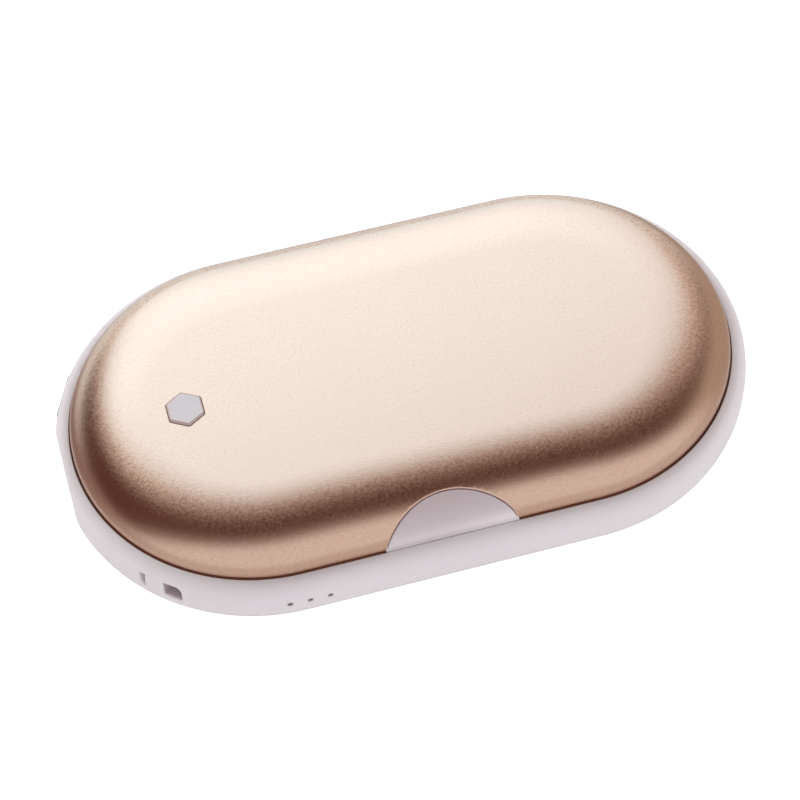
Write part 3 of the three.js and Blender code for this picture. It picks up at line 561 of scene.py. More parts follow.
def skin(rows, ring_closed=False):
    """Faces between equal rings of points, given upwards on the outside."""
    count = len(rows[0])
    faces = []
    pairs = len(rows) if ring_closed else len(rows) - 1
    for row in range(pairs):
        here = row * count
        above = (row + 1) % len(rows) * count
        for step in range(count):
            after = (step + 1) % count
            faces.append((here + step, here + after, above + after, above + step))
    return np.concatenate(rows), faces


def capped(rows):
    """Skin closed by fans over its first and last rings."""
    points, faces = skin(rows)
    count = len(rows[0])
    first, last = len(points), len(points) + 1
    top = (len(rows) - 1) * count
    for step in range(count):
        after = (step + 1) % count
        faces.append((first, after, step))
        faces.append((last, top + step, top + after))
    middles = [rows[0].mean(axis=0), rows[-1].mean(axis=0)]
    return np.concatenate([points, middles]), faces


def joined(*parts):
    """Several (points, faces) pairs as one."""
    points, faces, start = [], [], 0
    for part_points, part_faces in parts:
        points.append(part_points)
        faces.extend(tuple(index + start for index in face) for face in part_faces)
        start += len(part_points)
    return np.concatenate(points), faces


def new_piece(name, part, finish=None, crease=CREASE):
    """Object made of a (points, faces) pair, shaded smooth up to a crease angle."""
    points, faces = part
    mesh = bpy.data.meshes.new(name)
    mesh.from_pydata([tuple(point) for point in points], [], faces)
    piece = bpy.data.objects.new(name, mesh)
    bpy.context.scene.collection.objects.link(piece)
    merge_doubles(mesh)
    if finish:
        coat(piece, finish)
    smooth(mesh, crease)
    return piece


def coat(piece, finish):
    """Gives a piece one finish and no other."""
    piece.data.materials.clear()
    piece.data.materials.append(finish)


def merge_doubles(mesh):
    """Points that lie on each other become one."""
    touching = 2e-6
    work = bmesh.new()
    work.from_mesh(mesh)
    bmesh.ops.remove_doubles(work, verts=work.verts, dist=touching)
    work.to_mesh(mesh)
    work.free()
    mesh.update()


def smooth(mesh, crease):
    """Smooth shading with sharp edges past a crease angle in degrees."""
    mesh.shade_smooth()
    mesh.set_sharp_from_angle(angle=math.radians(crease))


def carve(piece, cutters, finish):
    """Cuts closed shapes out of a piece, removes them and gives the result its finish."""
    for cutter in cutters:
        cut = piece.modifiers.new("cut", "BOOLEAN")
        cut.object = cutter
        cut.operation = "DIFFERENCE"
        cut.solver = "EXACT"
        view = bpy.context.evaluated_depsgraph_get()
        mesh = bpy.data.meshes.new_from_object(piece.evaluated_get(view))
        piece.modifiers.clear()
        old = piece.data
        piece.data = mesh
        mesh.name = old.name
        bpy.data.meshes.remove(old)
        bpy.data.meshes.remove(cutter.data)
        merge_doubles(mesh)
    coat(piece, finish)
    smooth(mesh, CREASE)


def true_normals(piece, level):
    """Keeps the dome's shading whole round the holes cut in it, and marks their edges."""
    on_surface, edge_start, edge_span, facing = 1e-4, 0.003, 0.004, 0.8
    mesh = piece.data
    points = np.zeros(len(mesh.vertices) * 3)
    mesh.vertices.foreach_get("co", points)
    points = points.reshape(-1, 3)
    depth = -level(points)
    mark = mesh.attributes.new(CUT_EDGE, "FLOAT", "POINT")
    mark.data.foreach_set("value", np.clip((depth - edge_start) / edge_span, 0, 1))
    whole = np.abs(depth) < on_surface
    exact = dome_normals(points)
    shading = np.zeros((len(mesh.loops), 3))
    for face in mesh.polygons:
        corners = np.array(face.vertices)
        if whole[corners].all() and Vector(exact[corners[0]]).dot(face.normal) > facing:
            shading[list(face.loop_indices)] = exact[corners]
    mesh.normals_split_custom_set(shading.tolist())


class Seat:
    """Flat drawing frame on the body: its middle and its sideways, upward and outward ways."""

    def __init__(self, middle, outward, upward=(0, 0, 1)):
        self.middle = np.array(middle, float)
        self.outward = np.array(outward, float)
        self.upward = np.array(upward, float)
        self.sideways = np.cross(self.upward, self.outward)

    def at(self, spots, reach):
        """Points over spots of the drawing, at a reach outward from its plane."""
        spots = np.asarray(spots, float)
        flat = self.middle + spots[:, :1] * self.sideways + spots[:, 1:2] * self.upward
        return flat + np.broadcast_to(reach, len(spots))[:, None] * self.outward

    def surface(self, spots, level, inner, outer):
        """Reach at which each spot meets a surface, found by halving."""
        halvings = 34
        low = np.full(len(spots), float(inner))
        high = np.full(len(spots), float(outer))
        for _ in range(halvings):
            middle = (low + high) / 2
            inside = level(self.at(spots, middle)) < 0
            low = np.where(inside, middle, low)
            high = np.where(inside, high, middle)
        return (low + high) / 2


def outward_of(outline):
    """Outward directions of a closed outline drawn anticlockwise."""
    along = np.roll(outline, -1, axis=0) - np.roll(outline, 1, axis=0)
    out = np.column_stack([along[:, 1], -along[:, 0]])
    return out / np.linalg.norm(out, axis=1)[:, None]


def rounded(corners, spacing):
    """Closed outline through (x, y, radius) corners, anticlockwise, with points along its edges."""
    steps = 6
    outline = []
    count = len(corners)
    for index, (x, y, radius) in enumerate(corners):
        here = np.array([x, y])
        before = np.array(corners[index - 1][:2]) - here
        after = np.array(corners[(index + 1) % count][:2]) - here
        before, after = before / np.linalg.norm(before), after / np.linalg.norm(after)
        half = math.acos(np.clip(before @ after, -1, 1)) / 2
        middle = here + (before + after) / np.linalg.norm(before + after) * radius / math.sin(half)
        start = here + before * radius / math.tan(half) - middle
        sweep = math.pi - 2 * half
        for step in range(steps + 1):
            turn = sweep * step / steps
            turned = [
                start[0] * math.cos(turn) - start[1] * math.sin(turn),
                start[0] * math.sin(turn) + start[1] * math.cos(turn),
            ]
            outline.append(middle + turned)
    dense = []
    for index, point in enumerate(outline):
        after = outline[(index + 1) % len(outline)]
        pieces = max(1, round(float(np.linalg.norm(after - point)) / spacing))
        dense.extend(point + (after - point) * piece / pieces for piece in range(pieces))
    return np.array(dense)


def circle(radius, steps, start=0.0, end=2 * math.pi):
    """Points of a circle, or of an arc when the end is given."""
    turn = np.linspace(start, end, steps, endpoint=end - start < 2 * math.pi - 1e-6)
    return np.column_stack([radius * np.cos(turn), radius * np.sin(turn)])


def mouth(seat, outline, level, rounding, floor, search, lift=1 * MM):
    """Cutter for a hole whose edge is rounded where it meets a surface. The floor is a reach of the
    seat, the same all over or one value for each point of the outline."""
    out = outward_of(outline)
    lip = (1.32, -0.121)
    turns = np.radians(np.linspace(15, 90, 7))
    rows = []
    for side, depth in (lip, *zip(1 - np.sin(turns), 1 - np.cos(turns))):
        spots = outline + out * side * rounding
        rows.append(seat.at(spots, seat.surface(spots, level, *search) - depth * rounding))
    top = rows[0] + seat.outward * lift
    bottom = seat.at(outline, floor)
    return new_piece("cutter", capped([bottom, *rows[::-1], top]))


def moon_seat():
    """Seat of the half moon, tilted over the front shoulder, and the radius of its circle."""
    size = sizes()
    radius = (size.moon_chord**2 / 4 + size.moon_rise**2) / (2 * size.moon_rise)
    cos, sin = math.cos(size.moon_tilt), math.sin(size.moon_tilt)
    rim = np.array([MID_X, RIM_INSET - END_RADIUS, MID_Z + size.seam])
    middle = rim + np.array([0, cos, sin]) * (size.moon_rise - radius)
    return Seat(middle, (0, -sin, cos), (0, cos, sin)), radius


def moon_arc(radius, count, start):
    """Arc of the half moon, whose ends turn down to meet the rim squarely."""
    arc = circle(radius, count, start, math.pi - start)
    limit, power = 0.955 * radius, 12
    arc[:, 0] /= (1 + np.abs(arc[:, 0] / limit) ** power) ** (1 / power)
    return arc


def button_outline(radius, rounding, spacing=0.3 * MM):
    """Hexagon with two corners on the cross axis."""
    turns = [math.pi / 2 + corner * math.pi / 3 for corner in range(6)]
    corners = [(radius * math.cos(turn), radius * math.sin(turn), rounding) for turn in turns]
    return rounded(corners, spacing)


def dome_rows(crown_radii):
    """Rings of a dome from the middle of its inner crown, round the skirt and over the shoulder, to
    rings of the given radii on its outer crown."""
    size = sizes()
    wall, edge = size.wall, 0.1 * MM
    rise = CROWN - size.seam
    outer = quarter(RIM_INSET, size.seam, size.shoulder, rise, DOME_POWER, 40)
    inner = quarter(
        RIM_INSET + wall, size.seam, size.shoulder - wall, rise - wall, DOME_POWER, 16
    )
    end, ceiling = inner[-1]
    inner_crown = [(END_RADIUS - share * (END_RADIUS - end), ceiling) for share in (0, 0.5)]
    skirt = [(RIM_INSET + wall, SEAT), (RIM_INSET + edge, SEAT), (RIM_INSET, SEAT + edge)]
    crown = [(END_RADIUS - radius, CROWN) for radius in crown_radii]
    places = even_places(120, 46)
    profile = [*inner_crown, *inner[::-1], *skirt, *outer, *crown]
    return [level_row(inset, height, places) for inset, height in profile]


def mirrored(rows):
    """The same rings below the middle plane, still running upwards on the outside."""
    flipped = []
    for row in rows[::-1]:
        below = row.copy()
        below[:, 2] = 2 * MID_Z - row[:, 2]
        flipped.append(below)
    return flipped


def top_shell(finish):
    """Top dome with its button hole and half-moon notch."""
    size = sizes()
    past_button = 7.1 * MM
    radii = [*np.linspace(CROWN_START, past_button, 24), 5 * MM, 3 * MM, 1.4 * MM, 0]
    piece = new_piece("top_shell_skin", skin(dome_rows(radii)))
    level = dome_level(0)
    seat, radius = moon_seat()
    arc = moon_arc(radius, 121, math.radians(8))
    floor = seat.surface(arc, level, *MOON_SEARCH) - 3 * MM
    notch = mouth(seat, arc, level, size.notch_edge, floor, MOON_SEARCH, lift=5 * MM)
    above = Seat((BUTTON_X, 0, MID_Z + CROWN), (0, 0, 1), (0, 1, 0))
    hexagon = button_outline(size.button + size.button_gap, 0.45 * MM)
    hole = mouth(above, hexagon, level, size.hole_edge, -2 * MM, (-1 * MM, 1 * MM))
    carve(piece, [notch, hole], finish)
    true_normals(piece, level)
    return piece


def bottom_shell(finish):
    """Bottom dome, plain all over."""
    radii = [*np.linspace(CROWN_START, 1.4 * MM, 6), 0]
    return new_piece("bottom_shell_skin", skin(mirrored(dome_rows(radii))), finish)


def band_piece(finish):
    """Moulded band with its grooves, port mouths, light holes and cord anchor."""
    size = sizes()
    groove = RIM_INSET - size.seam_gap
    rib = RIM_INSET + size.wall + size.groove_fit
    inside = rib + size.rib
    crest = math.acos((size.seam_gap / RIM_INSET) ** (BAND_POWER / 2))
    outer = quarter(0, 0, RIM_INSET, size.seam, BAND_POWER, 30, crest)
    top = outer[-1][1]
    corner = size.band_crest
    upper = [(inset, height) for inset, height in outer if inset < groove - corner]
    for turn in np.radians((30, 60, 90)):
        inset = groove - corner * (1 - math.sin(turn))
        upper.append((inset, top - corner * (1 - math.cos(turn))))
    upper += [(groove, SEAT), (rib, SEAT), (rib, RIB_TOP), (inside, RIB_TOP)]
    lower = [(inset, -height) for inset, height in upper[:0:-1]]
    places = even_places(160, 60)
    rows = [level_row(inset, height, places) for inset, height in [*lower, *upper]]
    for row in rows:
        row[:, 0] = port_flat(row[:, 0])
    piece = new_piece("mid_frame_skin", skin(rows, ring_closed=True))
    carve(piece, band_cutters(inside), finish)
    return piece


def port_flat(x, blend=0.35 * MM):
    """Cuts the band's end off flat, with a soft change from the round."""
    share = np.clip(0.5 + (x - PORT_FACE) / (2 * blend), 0, 1)
    return x * share + PORT_FACE * (1 - share) + blend * share * (1 - share)


def band_cutters(inside):
    """Cutters of the port mouths, the light holes and the cord anchor."""
    size = sizes()
    socket_low, socket_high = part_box("usb_a_shell")
    half_width = (socket_high.y - socket_low.y) / 2 + PORT_FIT
    half_height = (socket_high.z - socket_low.z) / 2 + PORT_FIT
    port = Seat((PORT_FACE, 0, MID_Z), (-1, 0, 0))
    corners = box_corners(half_width, half_height)
    outline = rounded([(x, y, 0.75 * MM) for x, y in corners], 0.5 * MM)
    inlet, shape = inlet_seat()
    floor = END_RADIUS - inside - 1.5 * MM
    cutters = [
        mouth(port, outline, band_level, 0.25 * MM, -6 * MM, BESIDE_SEAT),
        mouth(inlet, shape, band_level, 0.2 * MM, floor, ROUND_END),
    ]
    hole, bore = circle(size.light_hole, 28), circle(0.8 * MM, 24)
    for x in light_places():
        seat = Seat((x, -END_RADIUS, MID_Z + size.light_height), (0, -1, 0))
        cutters.append(mouth(seat, hole, band_level, 0.05 * MM, -1.3 * MM, BESIDE_SEAT))
        behind = capped([seat.at(bore, -inside - 1 * MM), seat.at(bore, -1.2 * MM)])
        cutters.append(new_piece("cutter", behind))
    cutters.extend(anchor_cutters())
    return cutters


def light_places():
    """Places of the three status lights along the body."""
    size = sizes()
    first = MID_X - END_REACH - size.light_ahead
    return [first + light * size.light_pitch for light in range(3)]


def box_corners(across, up):
    """Corners of a rectangle about the middle from its half sizes, anticlockwise."""
    return [(-across, -up), (across, -up), (across, up), (-across, up)]


def end_seat(turn):
    """Seat at the centre of the round port end, facing out of it in a direction."""
    return Seat((MID_X - END_REACH, 0, MID_Z), (math.cos(turn), math.sin(turn), 0))


def inlet_seat():
    """Seat of the charging inlet on the port end, and the outline of its mouth."""
    low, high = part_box("micro_usb_shell")
    middle = (low + high) / 2
    seat = end_seat(math.atan2(middle.y, middle.x - (MID_X - END_REACH)))
    top = high.z - MID_Z + PORT_FIT
    foot = low.z - MID_Z - PORT_FIT
    bend = (top + foot) / 2
    wide, narrow, radius = 3.9 * MM, 2.95 * MM, 0.3 * MM
    right = [(narrow, foot), (wide, bend), (wide, top)]
    left = [(-x, y) for x, y in right[::-1]]
    shape = [left[-1], *right, *left[:-1]]
    return seat, rounded([(x, y, radius) for x, y in shape], 0.4 * MM)


def anchor_cutters():
    """Pocket on each side of the anchor bar, joined behind it. One is scooped out sideways."""
    size = sizes()
    seat = end_seat(size.anchor_angle)
    bar = size.anchor_bar / 2
    low, high = size.anchor_low, size.anchor_high
    deep = END_RADIUS - size.anchor_depth
    beside = [
        (bar, low, 0.25 * MM),
        (bar + size.anchor_pocket, low - 0.3 * MM, 0.35 * MM),
        (bar + size.anchor_pocket, high, 1.1 * MM),
        (bar, high, 0.25 * MM),
    ]
    pocket = mouth(seat, rounded(beside, 0.3 * MM), band_level, 0.22 * MM, deep, ROUND_END)
    reach = bar + 0.5 * MM
    behind = [(-reach, low), (reach, low), (reach, high), (-reach, high)]
    tunnel = capped([seat.at(behind, deep), seat.at(behind, END_RADIUS - 1.6 * MM)])
    return [pocket, scoop_cutter(seat), new_piece("cutter", tunnel)]


def scoop_cutter(seat):
    """Hollow beside the anchor bar: deep at the bar, and running out smoothly to the surface."""
    size = sizes()
    run, overrun, spread, skim = 2.3 * MM, 1.04, 1.12, 0.03 * MM
    columns = 29
    middle = (size.anchor_low + size.anchor_high) / 2
    half = (size.anchor_high - size.anchor_low) / 2 + 0.1 * MM
    heights = middle + half * np.linspace(-spread, spread, columns)
    across = np.clip(1 - np.abs((heights - middle) / half) ** 4, 0, 1)
    lower, upper = [], []
    for share in np.linspace(0, overrun, 30):
        spots = np.column_stack([np.full(columns, -size.anchor_bar / 2 - run * share), heights])
        along = max(0.0, 1 - share) ** 3
        reach = seat.surface(spots, band_level, *ROUND_END)
        lower.append(seat.at(spots, reach - 0.9 * size.anchor_depth * along * across + skim))
        upper.append(seat.at(spots, END_RADIUS + 1.5 * MM))
    return new_piece("cutter", slab(np.array(lower), np.array(upper)))


def cells(rows, columns, start=0):
    """Corners of each cell of a grid of points, which is stored row by row."""
    for row in range(rows - 1):
        for column in range(columns - 1):
            corner = start + row * columns + column
            yield corner, corner + 1, corner + columns + 1, corner + columns


def slab(lower, upper):
    """Closed body between two grids of points whose rows run against the sideways direction."""
    rows, columns = lower.shape[:2]
    count = rows * columns
    faces = []
    for cell in cells(rows, columns):
        faces.append(cell[::-1])
        faces.append(tuple(index + count for index in cell))
    grid = np.arange(count).reshape(rows, columns)
    edge = [*grid[0], *grid[1:, -1], *grid[-1, -2::-1], *grid[-2:0:-1, 0]]
    for here, after in zip(edge, edge[1:] + edge[:1]):
        faces.append((here, after, after + count, here + count))
    return np.concatenate([lower.reshape(-1, 3), upper.reshape(-1, 3)]), faces


def inlay_piece(finish):
    """Half-moon inlay: a face with rounded edges that follows the dome, and the lip behind it."""
    size = sizes()
    seat, radius = moon_seat()
    level = dome_level(size.moon_sink)
    slope = math.sin(size.moon_tilt)
    rim_spot = radius - size.moon_rise
    face_foot = rim_spot - (size.seam - SEAT - 0.05 * MM) * slope
    lip_foot = rim_spot + (RIB_TOP + size.groove_fit - size.seam) * slope + 0.2 * MM
    face = half_moon(seat, radius - size.moon_gap, face_foot, level, 0.0, 0.75 * MM, 0.14 * MM)
    lip = half_moon(seat, radius + 1.2 * MM, lip_foot, level, 0.78 * MM, 1.55 * MM, 0.1 * MM)
    part = joined(face, lip, inlay_toe())
    return new_piece("half_moon_inlay_skin", part, finish, MOULDED_CREASE)


def inlay_toe():
    """Small ledge along the foot of the inlay, which closes the seam beside the band. Its face is
    given in millimetres from the ledge's wall and top."""
    size = sizes()
    half = size.moon_chord / 2 - size.moon_gap - 0.25 * MM
    wall = RIM_INSET - size.seam_gap + 0.05 * MM
    top = size.seam + 0.13 * MM
    foot = SEAT + 0.1 * MM
    thick = 0.8 * MM
    ledge = [(0.36, 0.4), (0.3, 0.2), (0.23, 0.08), (0.13, 0.02), (0.05, -0.02), (0, -0.12)]
    profile = [(wall, foot), (wall + thick, foot), (wall + thick, top + 0.5 * MM)]
    profile += [(wall + across * MM, top + up * MM) for across, up in ledge]
    rows = []
    for x in np.linspace(MID_X - half, MID_X + half, 12):
        points = [(x, inset - END_RADIUS, MID_Z + height) for inset, height in profile]
        rows.append(np.array(points))
    return capped(rows)


def half_moon(seat, radius, foot, level, top, bottom, rounding):
    """Plate under a circle's arc and over its foot line, between two depths below a surface."""
    columns, rows = 72, 22

    def loop(inset):
        low = foot + inset
        arc = moon_arc(radius - inset, columns + 1, math.asin(low / (radius - inset)))
        under = np.column_stack([arc[-2:0:-1, 0], np.full(columns - 1, low)])
        return np.concatenate([arc, under]), arc, low

    def sunk(spots, depth):
        return seat.at(spots, seat.surface(spots, level, *MOON_SEARCH) - depth)

    rings = [sunk(loop(rounding)[0], bottom), sunk(loop(0)[0], bottom - rounding)]
    for turn in np.radians(np.linspace(0, 90, 6)):
        inset = rounding * (1 - math.cos(turn))
        depth = top + rounding * (1 - math.sin(turn))
        rings.append(sunk(loop(inset)[0], depth))
    points, faces = skin(rings)
    _, arc, low = loop(rounding)
    for depth, flip in ((top, False), (bottom, True)):
        for near, beside, across, above in cells(rows + 1, columns + 1, len(points)):
            face = (near, above, across, beside)
            faces.append(face[::-1] if flip else face)
        for share in np.linspace(0, 1, rows + 1):
            heights = low + (arc[:, 1] - low) * share
            row = sunk(np.column_stack([arc[:, 0], heights]), depth)
            points = np.concatenate([points, row])
    return points, faces


def button_piece(finish):
    """Hexagonal cap with sloped edges and a slightly dished top, on its hidden collar."""
    size = sizes()
    outline = button_outline(size.button, 0.5 * MM)
    out = outward_of(outline)
    seat = Seat((BUTTON_X, 0, 0), (0, 0, 1), (0, 1, 0))
    roll, drop, dish = size.button_chamfer, 0.42 * MM, 0.04 * MM
    ceiling = MID_Z + CROWN - size.wall
    rows = [seat.at(outline, ceiling - 0.3 * MM)]
    for share, low in ((0, 1), (0.04, 0.9), (0.1, 0.8), (0.8, 0.16), (0.88, 0.08), (1, 0)):
        rows.append(seat.at(outline - out * roll * share, BUTTON_TOP - drop * low))
    for share in np.linspace(0.92, 0.06, 8):
        rows.append(seat.at((outline - out * roll) * share, BUTTON_TOP - dish * (1 - share**2)))

    radius, bevel = (button_high.x - button_low.x) / 2, 0.1 * MM
    wide, stem = circle(radius, 64), circle(1.6 * MM, 64)
    tight = wide * (1 - bevel / radius)
    top, under = ceiling - 0.2 * MM, button_low.z + 0.15 * MM
    collar = capped([
        seat.at(stem, button_low.z),
        seat.at(stem, under),
        seat.at(tight, under),
        seat.at(wide, under + bevel),
        seat.at(wide, top - bevel),
        seat.at(tight, top),
    ])
    return new_piece("power_button_cap", joined(capped(rows), collar), finish, MOULDED_CREASE)


def guide_piece(finish):
    """Light guide of the frame with its three tips, which fill the light holes."""
    size = sizes()
    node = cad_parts["led_light_guide"]
    points = np.array([node.matrix_world @ vertex.co for vertex in node.data.vertices])
    parts = [(points, [tuple(face.vertices) for face in node.data.polygons])]
    front = -points[:, 1].min()
    tip, dome = END_RADIUS - 0.14 * MM, 0.1 * MM
    full = circle(size.light_hole - 0.03 * MM, 32)
    for x in light_places():
        seat = Seat((x, 0, MID_Z + size.light_height), (0, -1, 0))
        rows = [seat.at(full, front - 0.05 * MM), seat.at(full, tip - dome)]
        for turn in np.radians((30, 55, 75)):
            rows.append(seat.at(full * math.cos(turn), tip - dome * (1 - math.sin(turn))))
        parts.append(capped(rows))
    return new_piece("light_guide_tips", joined(*parts), finish)


def dress(piece, body, slot, *nodes):
    """Fixes a piece to its body and lets it stand for the frame's nodes."""
    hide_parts(*nodes)
    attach(piece, body)


def paint(finish, *names):
    """Gives nodes of the frame a finish."""
    for name in names:
        coat(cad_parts[name], finish)


class WARMER_OT_stage(bpy.types.Operator):
    """Build the floor, the lights, the world and the camera"""

    bl_idname = "warmer.stage"
    bl_label = "Stage"

    def execute(self, context):
        scene = context.scene
        scene.view_settings.view_transform = "Standard"
        self.make_floor()
        self.make_world(scene)
        self.make_lights(scene)
        self.make_camera(scene)
        return {"FINISHED"}

    def make_floor(self):
        """Pale floor that is clear from below and gives back the light of the studio's walls, with
        a painted shadow that darkens its glow near and under the object.
        """
        half = 3.0
        bounced, seen = (0.32, 0.32, 0.33), (0.78, 0.79, 0.79)
        painted_near_shadow, painted_under_shadow = (0.42, 0.36, 0.34), (0.56, 0.52, 0.52)
        finish = Finish("pale_floor")
        x, y = finish.axes(finish.place(), "XY")
        reach = (x * x + y * y + 1e-6).math("SQRT")
        # Painted shadow: the glow that the metal sees is darker near and under the object.
        near = finish.step(reach, 0.7, 0.05) * finish.step(y, 0.03, -0.02)
        walls = finish.mix(near * 0.5, self.horizon(finish, x / reach, y / reach), painted_near_shadow)
        walls = finish.mix(finish.step(reach, 0.068, 0.056), walls, painted_under_shadow)
        glossy = finish.ray("Glossy")
        shade = finish.mix(finish.noise(0.4, 2.0), colours().floor, tint(240, 240, 240))
        glow = finish.mix(finish.ray("Camera"), finish.mix(glossy, bounced, walls), seen)
        material = finish.surface(
            Base_Color=finish.mix(glossy, shade, (0.0, 0.0, 0.0)),
            Roughness=1.0,
            Specular_IOR_Level=0.0,
            Alpha=1.0 - finish.node("ShaderNodeNewGeometry", {}, {}, "Backfacing"),
            Emission_Color=glow,
            Emission_Strength=1.0,
        )
        corners = np.array([(x, y, 0.0) for x, y in box_corners(half, half)])
        floor = new_piece("floor", (corners, [(0, 1, 2, 3)]), material)

    @staticmethod
    def horizon(finish, x, y):
        """Light of the studio's walls by direction: pale in front and behind, dim to the sides."""
        left, back = (0.27, 0.20, 0.20), (0.80, 0.90, 0.96)
        right, front = (0.42, 0.36, 0.32), (0.72, 0.71, 0.73)
        walls = finish.mix(finish.step(y, 0.4, 0.9), left, back)
        walls = finish.mix(finish.step(x, 0.6, 0.85), walls, right)
        return finish.mix(finish.step(y, -0.05, -0.5), walls, front)

    def make_world(self, scene):
        """Studio's walls all round with a dark gap overhead, and plain white to the camera."""
        gap, seen = (0.10, 0.045, 0.032), (1.0, 1.0, 1.0)
        world = bpy.data.worlds.new("studio")
        scene.world = world
        finish = Finish("studio", world)
        x, y, z = finish.axes(finish.node("ShaderNodeTexCoord", {}, {}, "Generated"), "XYZ")
        overhead = finish.step(z, 0.0, 0.5) * finish.step(x, 0.85, 0.6)
        overhead = overhead * finish.step(y, -0.5, -0.05)
        glow = finish.mix(overhead, self.horizon(finish, x, y), gap)
        glow = finish.mix(finish.ray("Camera"), glow, seen)
        background = finish.node("ShaderNodeBackground", {}, {"Color": glow, "Strength": 1.0})
        finish.node("ShaderNodeOutputWorld", {}, {"Surface": background})

    def make_lights(self, scene):
        """Softbox behind the object that only the gloss sees, and veils that only the dye sees."""
        softbox = self.area_light(scene, "softbox", 84, 49, 0.8, (1.462, 1.312), 1.0, (1, 1, 1))
        self.soften(softbox.data)
        softbox.visible_diffuse = False
        for name, azimuth, zenith, side, radiance in (
            ("front_veil", -76, 72, 1.0, 0.4),
            ("left_veil", 148, 50, 0.9, 1.5),
            ("back_left_veil", 130, 74, 0.9, 1.7),
            ("back_right_veil", 45, 74, 0.9, 1.3),
            ("right_veil", 8, 66, 0.9, 0.9),
        ):
            span, tone = (side, side), (0.98, 1.0, 1.0)
            veil = self.area_light(scene, name, azimuth, zenith, 1.0, span, radiance, tone)
            veil.visible_glossy = False

    @staticmethod
    def soften(light):
        """Softbox that is hottest about its middle and falls off towards its edges."""
        dim_tone, hot_tone = (1.1, 0.96, 0.94), (1.08, 1.19, 1.25)
        finish = Finish("softbox", light)
        spot = finish.node("ShaderNodeNewGeometry", {}, {}, "Parametric")
        across, up = finish.axes(spot, "XY")
        across, up = (across - 0.5) * 1.7, (up - 0.5) * 1.6
        fall = ((0.1 - across) / 1.05).clamp()
        glow = (1 - fall * fall) * finish.step(across, 0.7, 0.3)
        bow = up - across * 0.15 + 0.077 - across * across * 0.22
        glow = glow * finish.step(bow, 0.89, 0.24) * finish.step(up, -0.8, -0.15)
        tone = finish.mix(glow, dim_tone, hot_tone)
        emission = finish.node("ShaderNodeEmission", {}, {"Color": tone, "Strength": glow})
        finish.node("ShaderNodeOutputLight", {}, {"Surface": emission})

    @staticmethod
    def area_light(scene, name, azimuth, zenith, reach, span, radiance, tone):
        """Area light of a width and height, aimed at the object from a direction in degrees."""
        turn, tip = math.radians(azimuth), math.radians(zenith)
        out = math.sin(tip)
        place = Vector((out * math.cos(turn), out * math.sin(turn), math.cos(tip)))
        data = bpy.data.lights.new(name, "AREA")
        data.shape = "RECTANGLE"
        width, height = span
        data.size, data.size_y = width, height
        data.energy = radiance * math.pi * width * height
        data.color = tone
        light = bpy.data.objects.new(name, data)
        light.location = place * reach
        light.rotation_euler = (-place).to_track_quat("-Z", "Y").to_euler()
        scene.collection.objects.link(light)
        return light

    def make_camera(self, scene):
        """Camera of the photo's view. Its shift and scale are in pixels of an 800 by 800 frame."""
        azimuth, elevation, roll = (math.radians(value) for value in (-13.035, 56.11, -2.62))
        away, pixels_per_mm, frame_pixels, sensor = 400.4 * MM, 6.35, 800, 36.0
        shift_right, shift_down = 2.825, -3.891
        back = Vector((
            math.sin(azimuth) * math.cos(elevation),
            -math.cos(azimuth) * math.cos(elevation),
            math.sin(elevation),
        ))
        data = bpy.data.cameras.new("camera")
        data.sensor_width = sensor
        data.lens = pixels_per_mm * away / MM / frame_pixels * sensor
        data.shift_x = -shift_right / frame_pixels
        data.shift_y = shift_down / frame_pixels
        data.clip_start, data.clip_end = 0.01, 20
        camera = bpy.data.objects.new("camera", data)
        camera.location = Vector((MID_X, 0, MID_Z)) + back * away
        level = Vector((math.cos(azimuth), math.sin(azimuth), 0))
        up = back.cross(level)
        side = level * math.cos(roll) + up * math.sin(roll)
        rise = up * math.cos(roll) - level * math.sin(roll)
        camera.rotation_mode = "QUATERNION"
        camera.rotation_quaternion = Matrix((side, rise, back)).transposed().to_quaternion()
        scene.collection.objects.link(camera)
        scene.camera = camera


class WARMER_OT_shells(bpy.types.Operator):
    """Build the two metal domes"""

    bl_idname = "warmer.shells"
    bl_label = "Metal Shells"

    def execute(self, context):
        finish = rose_aluminium()
        dress(top_shell(finish), "housing", "rose_aluminium", "top_shell")
        dress(bottom_shell(finish), "housing", "rose_aluminium", "bottom_shell")
        return {"FINISHED"}


class WARMER_OT_band(bpy.types.Operator):
    """Build the moulded band between the domes"""

    bl_idname = "warmer.band"
    bl_label = "Moulded Band"

    def execute(self, context):
        shadow = tint(225, 218, 222)
        finish = moulded("pale_plastic", colours().band, shadow, 0.42, 0.25, band_painted_shade)
        dress(band_piece(finish), "housing", "pale_plastic", "mid_frame")
        return {"FINISHED"}


class WARMER_OT_inlay(bpy.types.Operator):
    """Build the half-moon inlay"""

    bl_idname = "warmer.inlay"
    bl_label = "Half-Moon Inlay"

    def execute(self, context):
        shadow = tint(206, 194, 199)
        finish = moulded("inlay_plastic", colours().inlay, shadow, 0.4, 0.15, inlay_painted_light)
        dress(inlay_piece(finish), "housing", "inlay_plastic", "half_moon_inlay")
        return {"FINISHED"}


class WARMER_OT_button(bpy.types.Operator):
    """Build the power button"""

    bl_idname = "warmer.button"
    bl_label = "Power Button"

    def execute(self, context):
        shadow = tint(222, 219, 224)
        finish = moulded("button_plastic", colours().button, shadow, 0.42, 0.1, button_painted_shade)
        dress(button_piece(finish), "button", "button_plastic", "power_button")
        return {"FINISHED"}


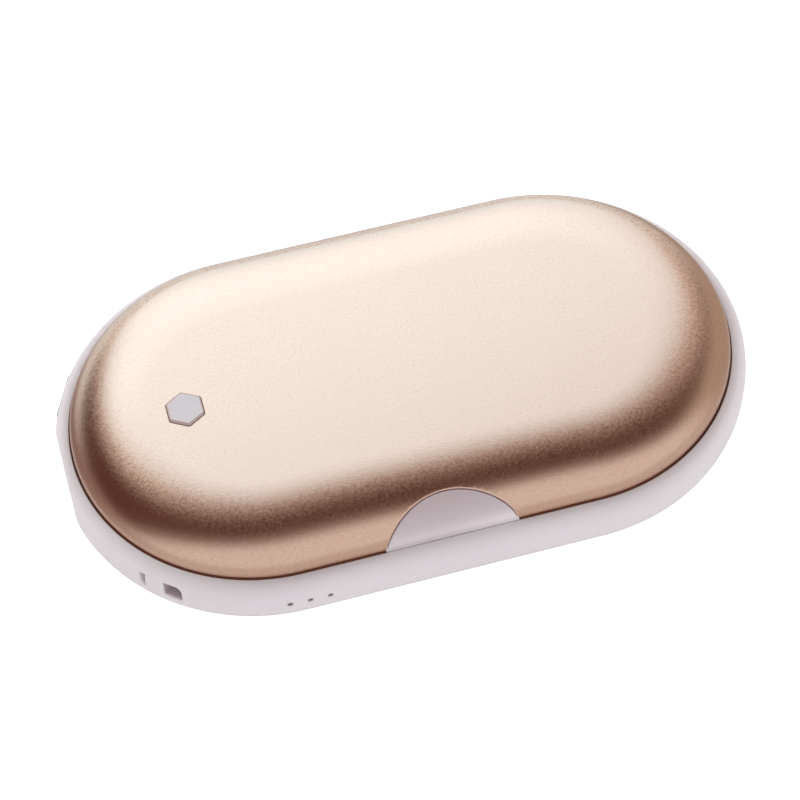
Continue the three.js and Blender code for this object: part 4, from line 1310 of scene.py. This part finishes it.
class WARMER_OT_insides(bpy.types.Operator):
    """Finish the sockets, the lights and everything inside"""

    bl_idname = "warmer.insides"
    bl_label = "Sockets and Insides"

    def execute(self, context):
        steel = tint(196, 198, 202)
        paint(sheet_steel("socket_steel", steel), "usb_a_shell", "micro_usb_shell")
        screws = [f"chassis_screw_{n}" for n in (1, 2, 3, 4)] + ["board_screw_1", "board_screw_2"]
        paint(sheet_steel("bright_steel", steel, 0.24), "switch_body", *screws)
        strips = ("nickel_strip_front", "nickel_strip_rear")
        paint(sheet_steel("nickel", tint(205, 201, 188), 0.3), *strips)
        contacts = [f"usb_a_contact_{n}" for n in (1, 2, 3, 4)]
        paint(sheet_steel("contact_gold", tint(222, 184, 96), 0.22), *contacts)
        paint(board_laminate(), "main_board")
        chassis = moulded("chassis_plastic", tint(232, 232, 228), tint(220, 220, 214), 0.55)
        paint(chassis, "inner_chassis")
        dark = moulded("dark_plastic", tint(34, 34, 37), tint(24, 24, 26), 0.45)
        chips = ("charge_controller_chip", "heater_transistor")
        paint(dark, "usb_a_tongue", "micro_usb_tongue", "switch_plunger", *chips)
        clear = speckled("clear_guide", (118, 106, 110), (104, 94, 98), 0.5, 0.25)
        dress(guide_piece(clear), "housing", "clear_guide", "led_light_guide")
        paint(heater_film(), "top_heater_film", "bottom_heater_film")
        for name, (*looks, nodes) in SPECKLED.items():
            paint(speckled(name, *looks), *nodes)
        return {"FINISHED"}


class WARMER_PT_panel(bpy.types.Panel):
    """Steps that build the hand warmer's looks"""

    bl_label = "Hand Warmer"
    bl_idname = "WARMER_PT_panel"
    bl_space_type = "VIEW_3D"
    bl_region_type = "UI"
    bl_category = "Hand Warmer"

    def draw(self, context):
        for operator in OPERATORS:
            self.layout.operator(operator.bl_idname)
        for group in (context.scene.warmer_sizes, context.scene.warmer_colours):
            column = self.layout.column(align=True)
            for name in group.__annotations__:
                column.prop(group, name)


OPERATORS = (
    WARMER_OT_stage,
    WARMER_OT_shells,
    WARMER_OT_band,
    WARMER_OT_inlay,
    WARMER_OT_button,
    WARMER_OT_insides,
)
CLASSES = (WarmerSizes, WarmerColours, *OPERATORS, WARMER_PT_panel)


def register():
    for cls in CLASSES:
        bpy.utils.register_class(cls)
    bpy.types.Scene.warmer_sizes = bpy.props.PointerProperty(type=WarmerSizes)
    bpy.types.Scene.warmer_colours = bpy.props.PointerProperty(type=WarmerColours)


def unregister():
    del bpy.types.Scene.warmer_colours
    del bpy.types.Scene.warmer_sizes
    for cls in reversed(CLASSES):
        bpy.utils.unregister_class(cls)


def main():
    """Registers the add-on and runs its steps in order."""
    register()
    for operator in OPERATORS:
        group, name = operator.bl_idname.split(".")
        getattr(getattr(bpy.ops, group), name)()


if __name__ == "__main__":
    main()
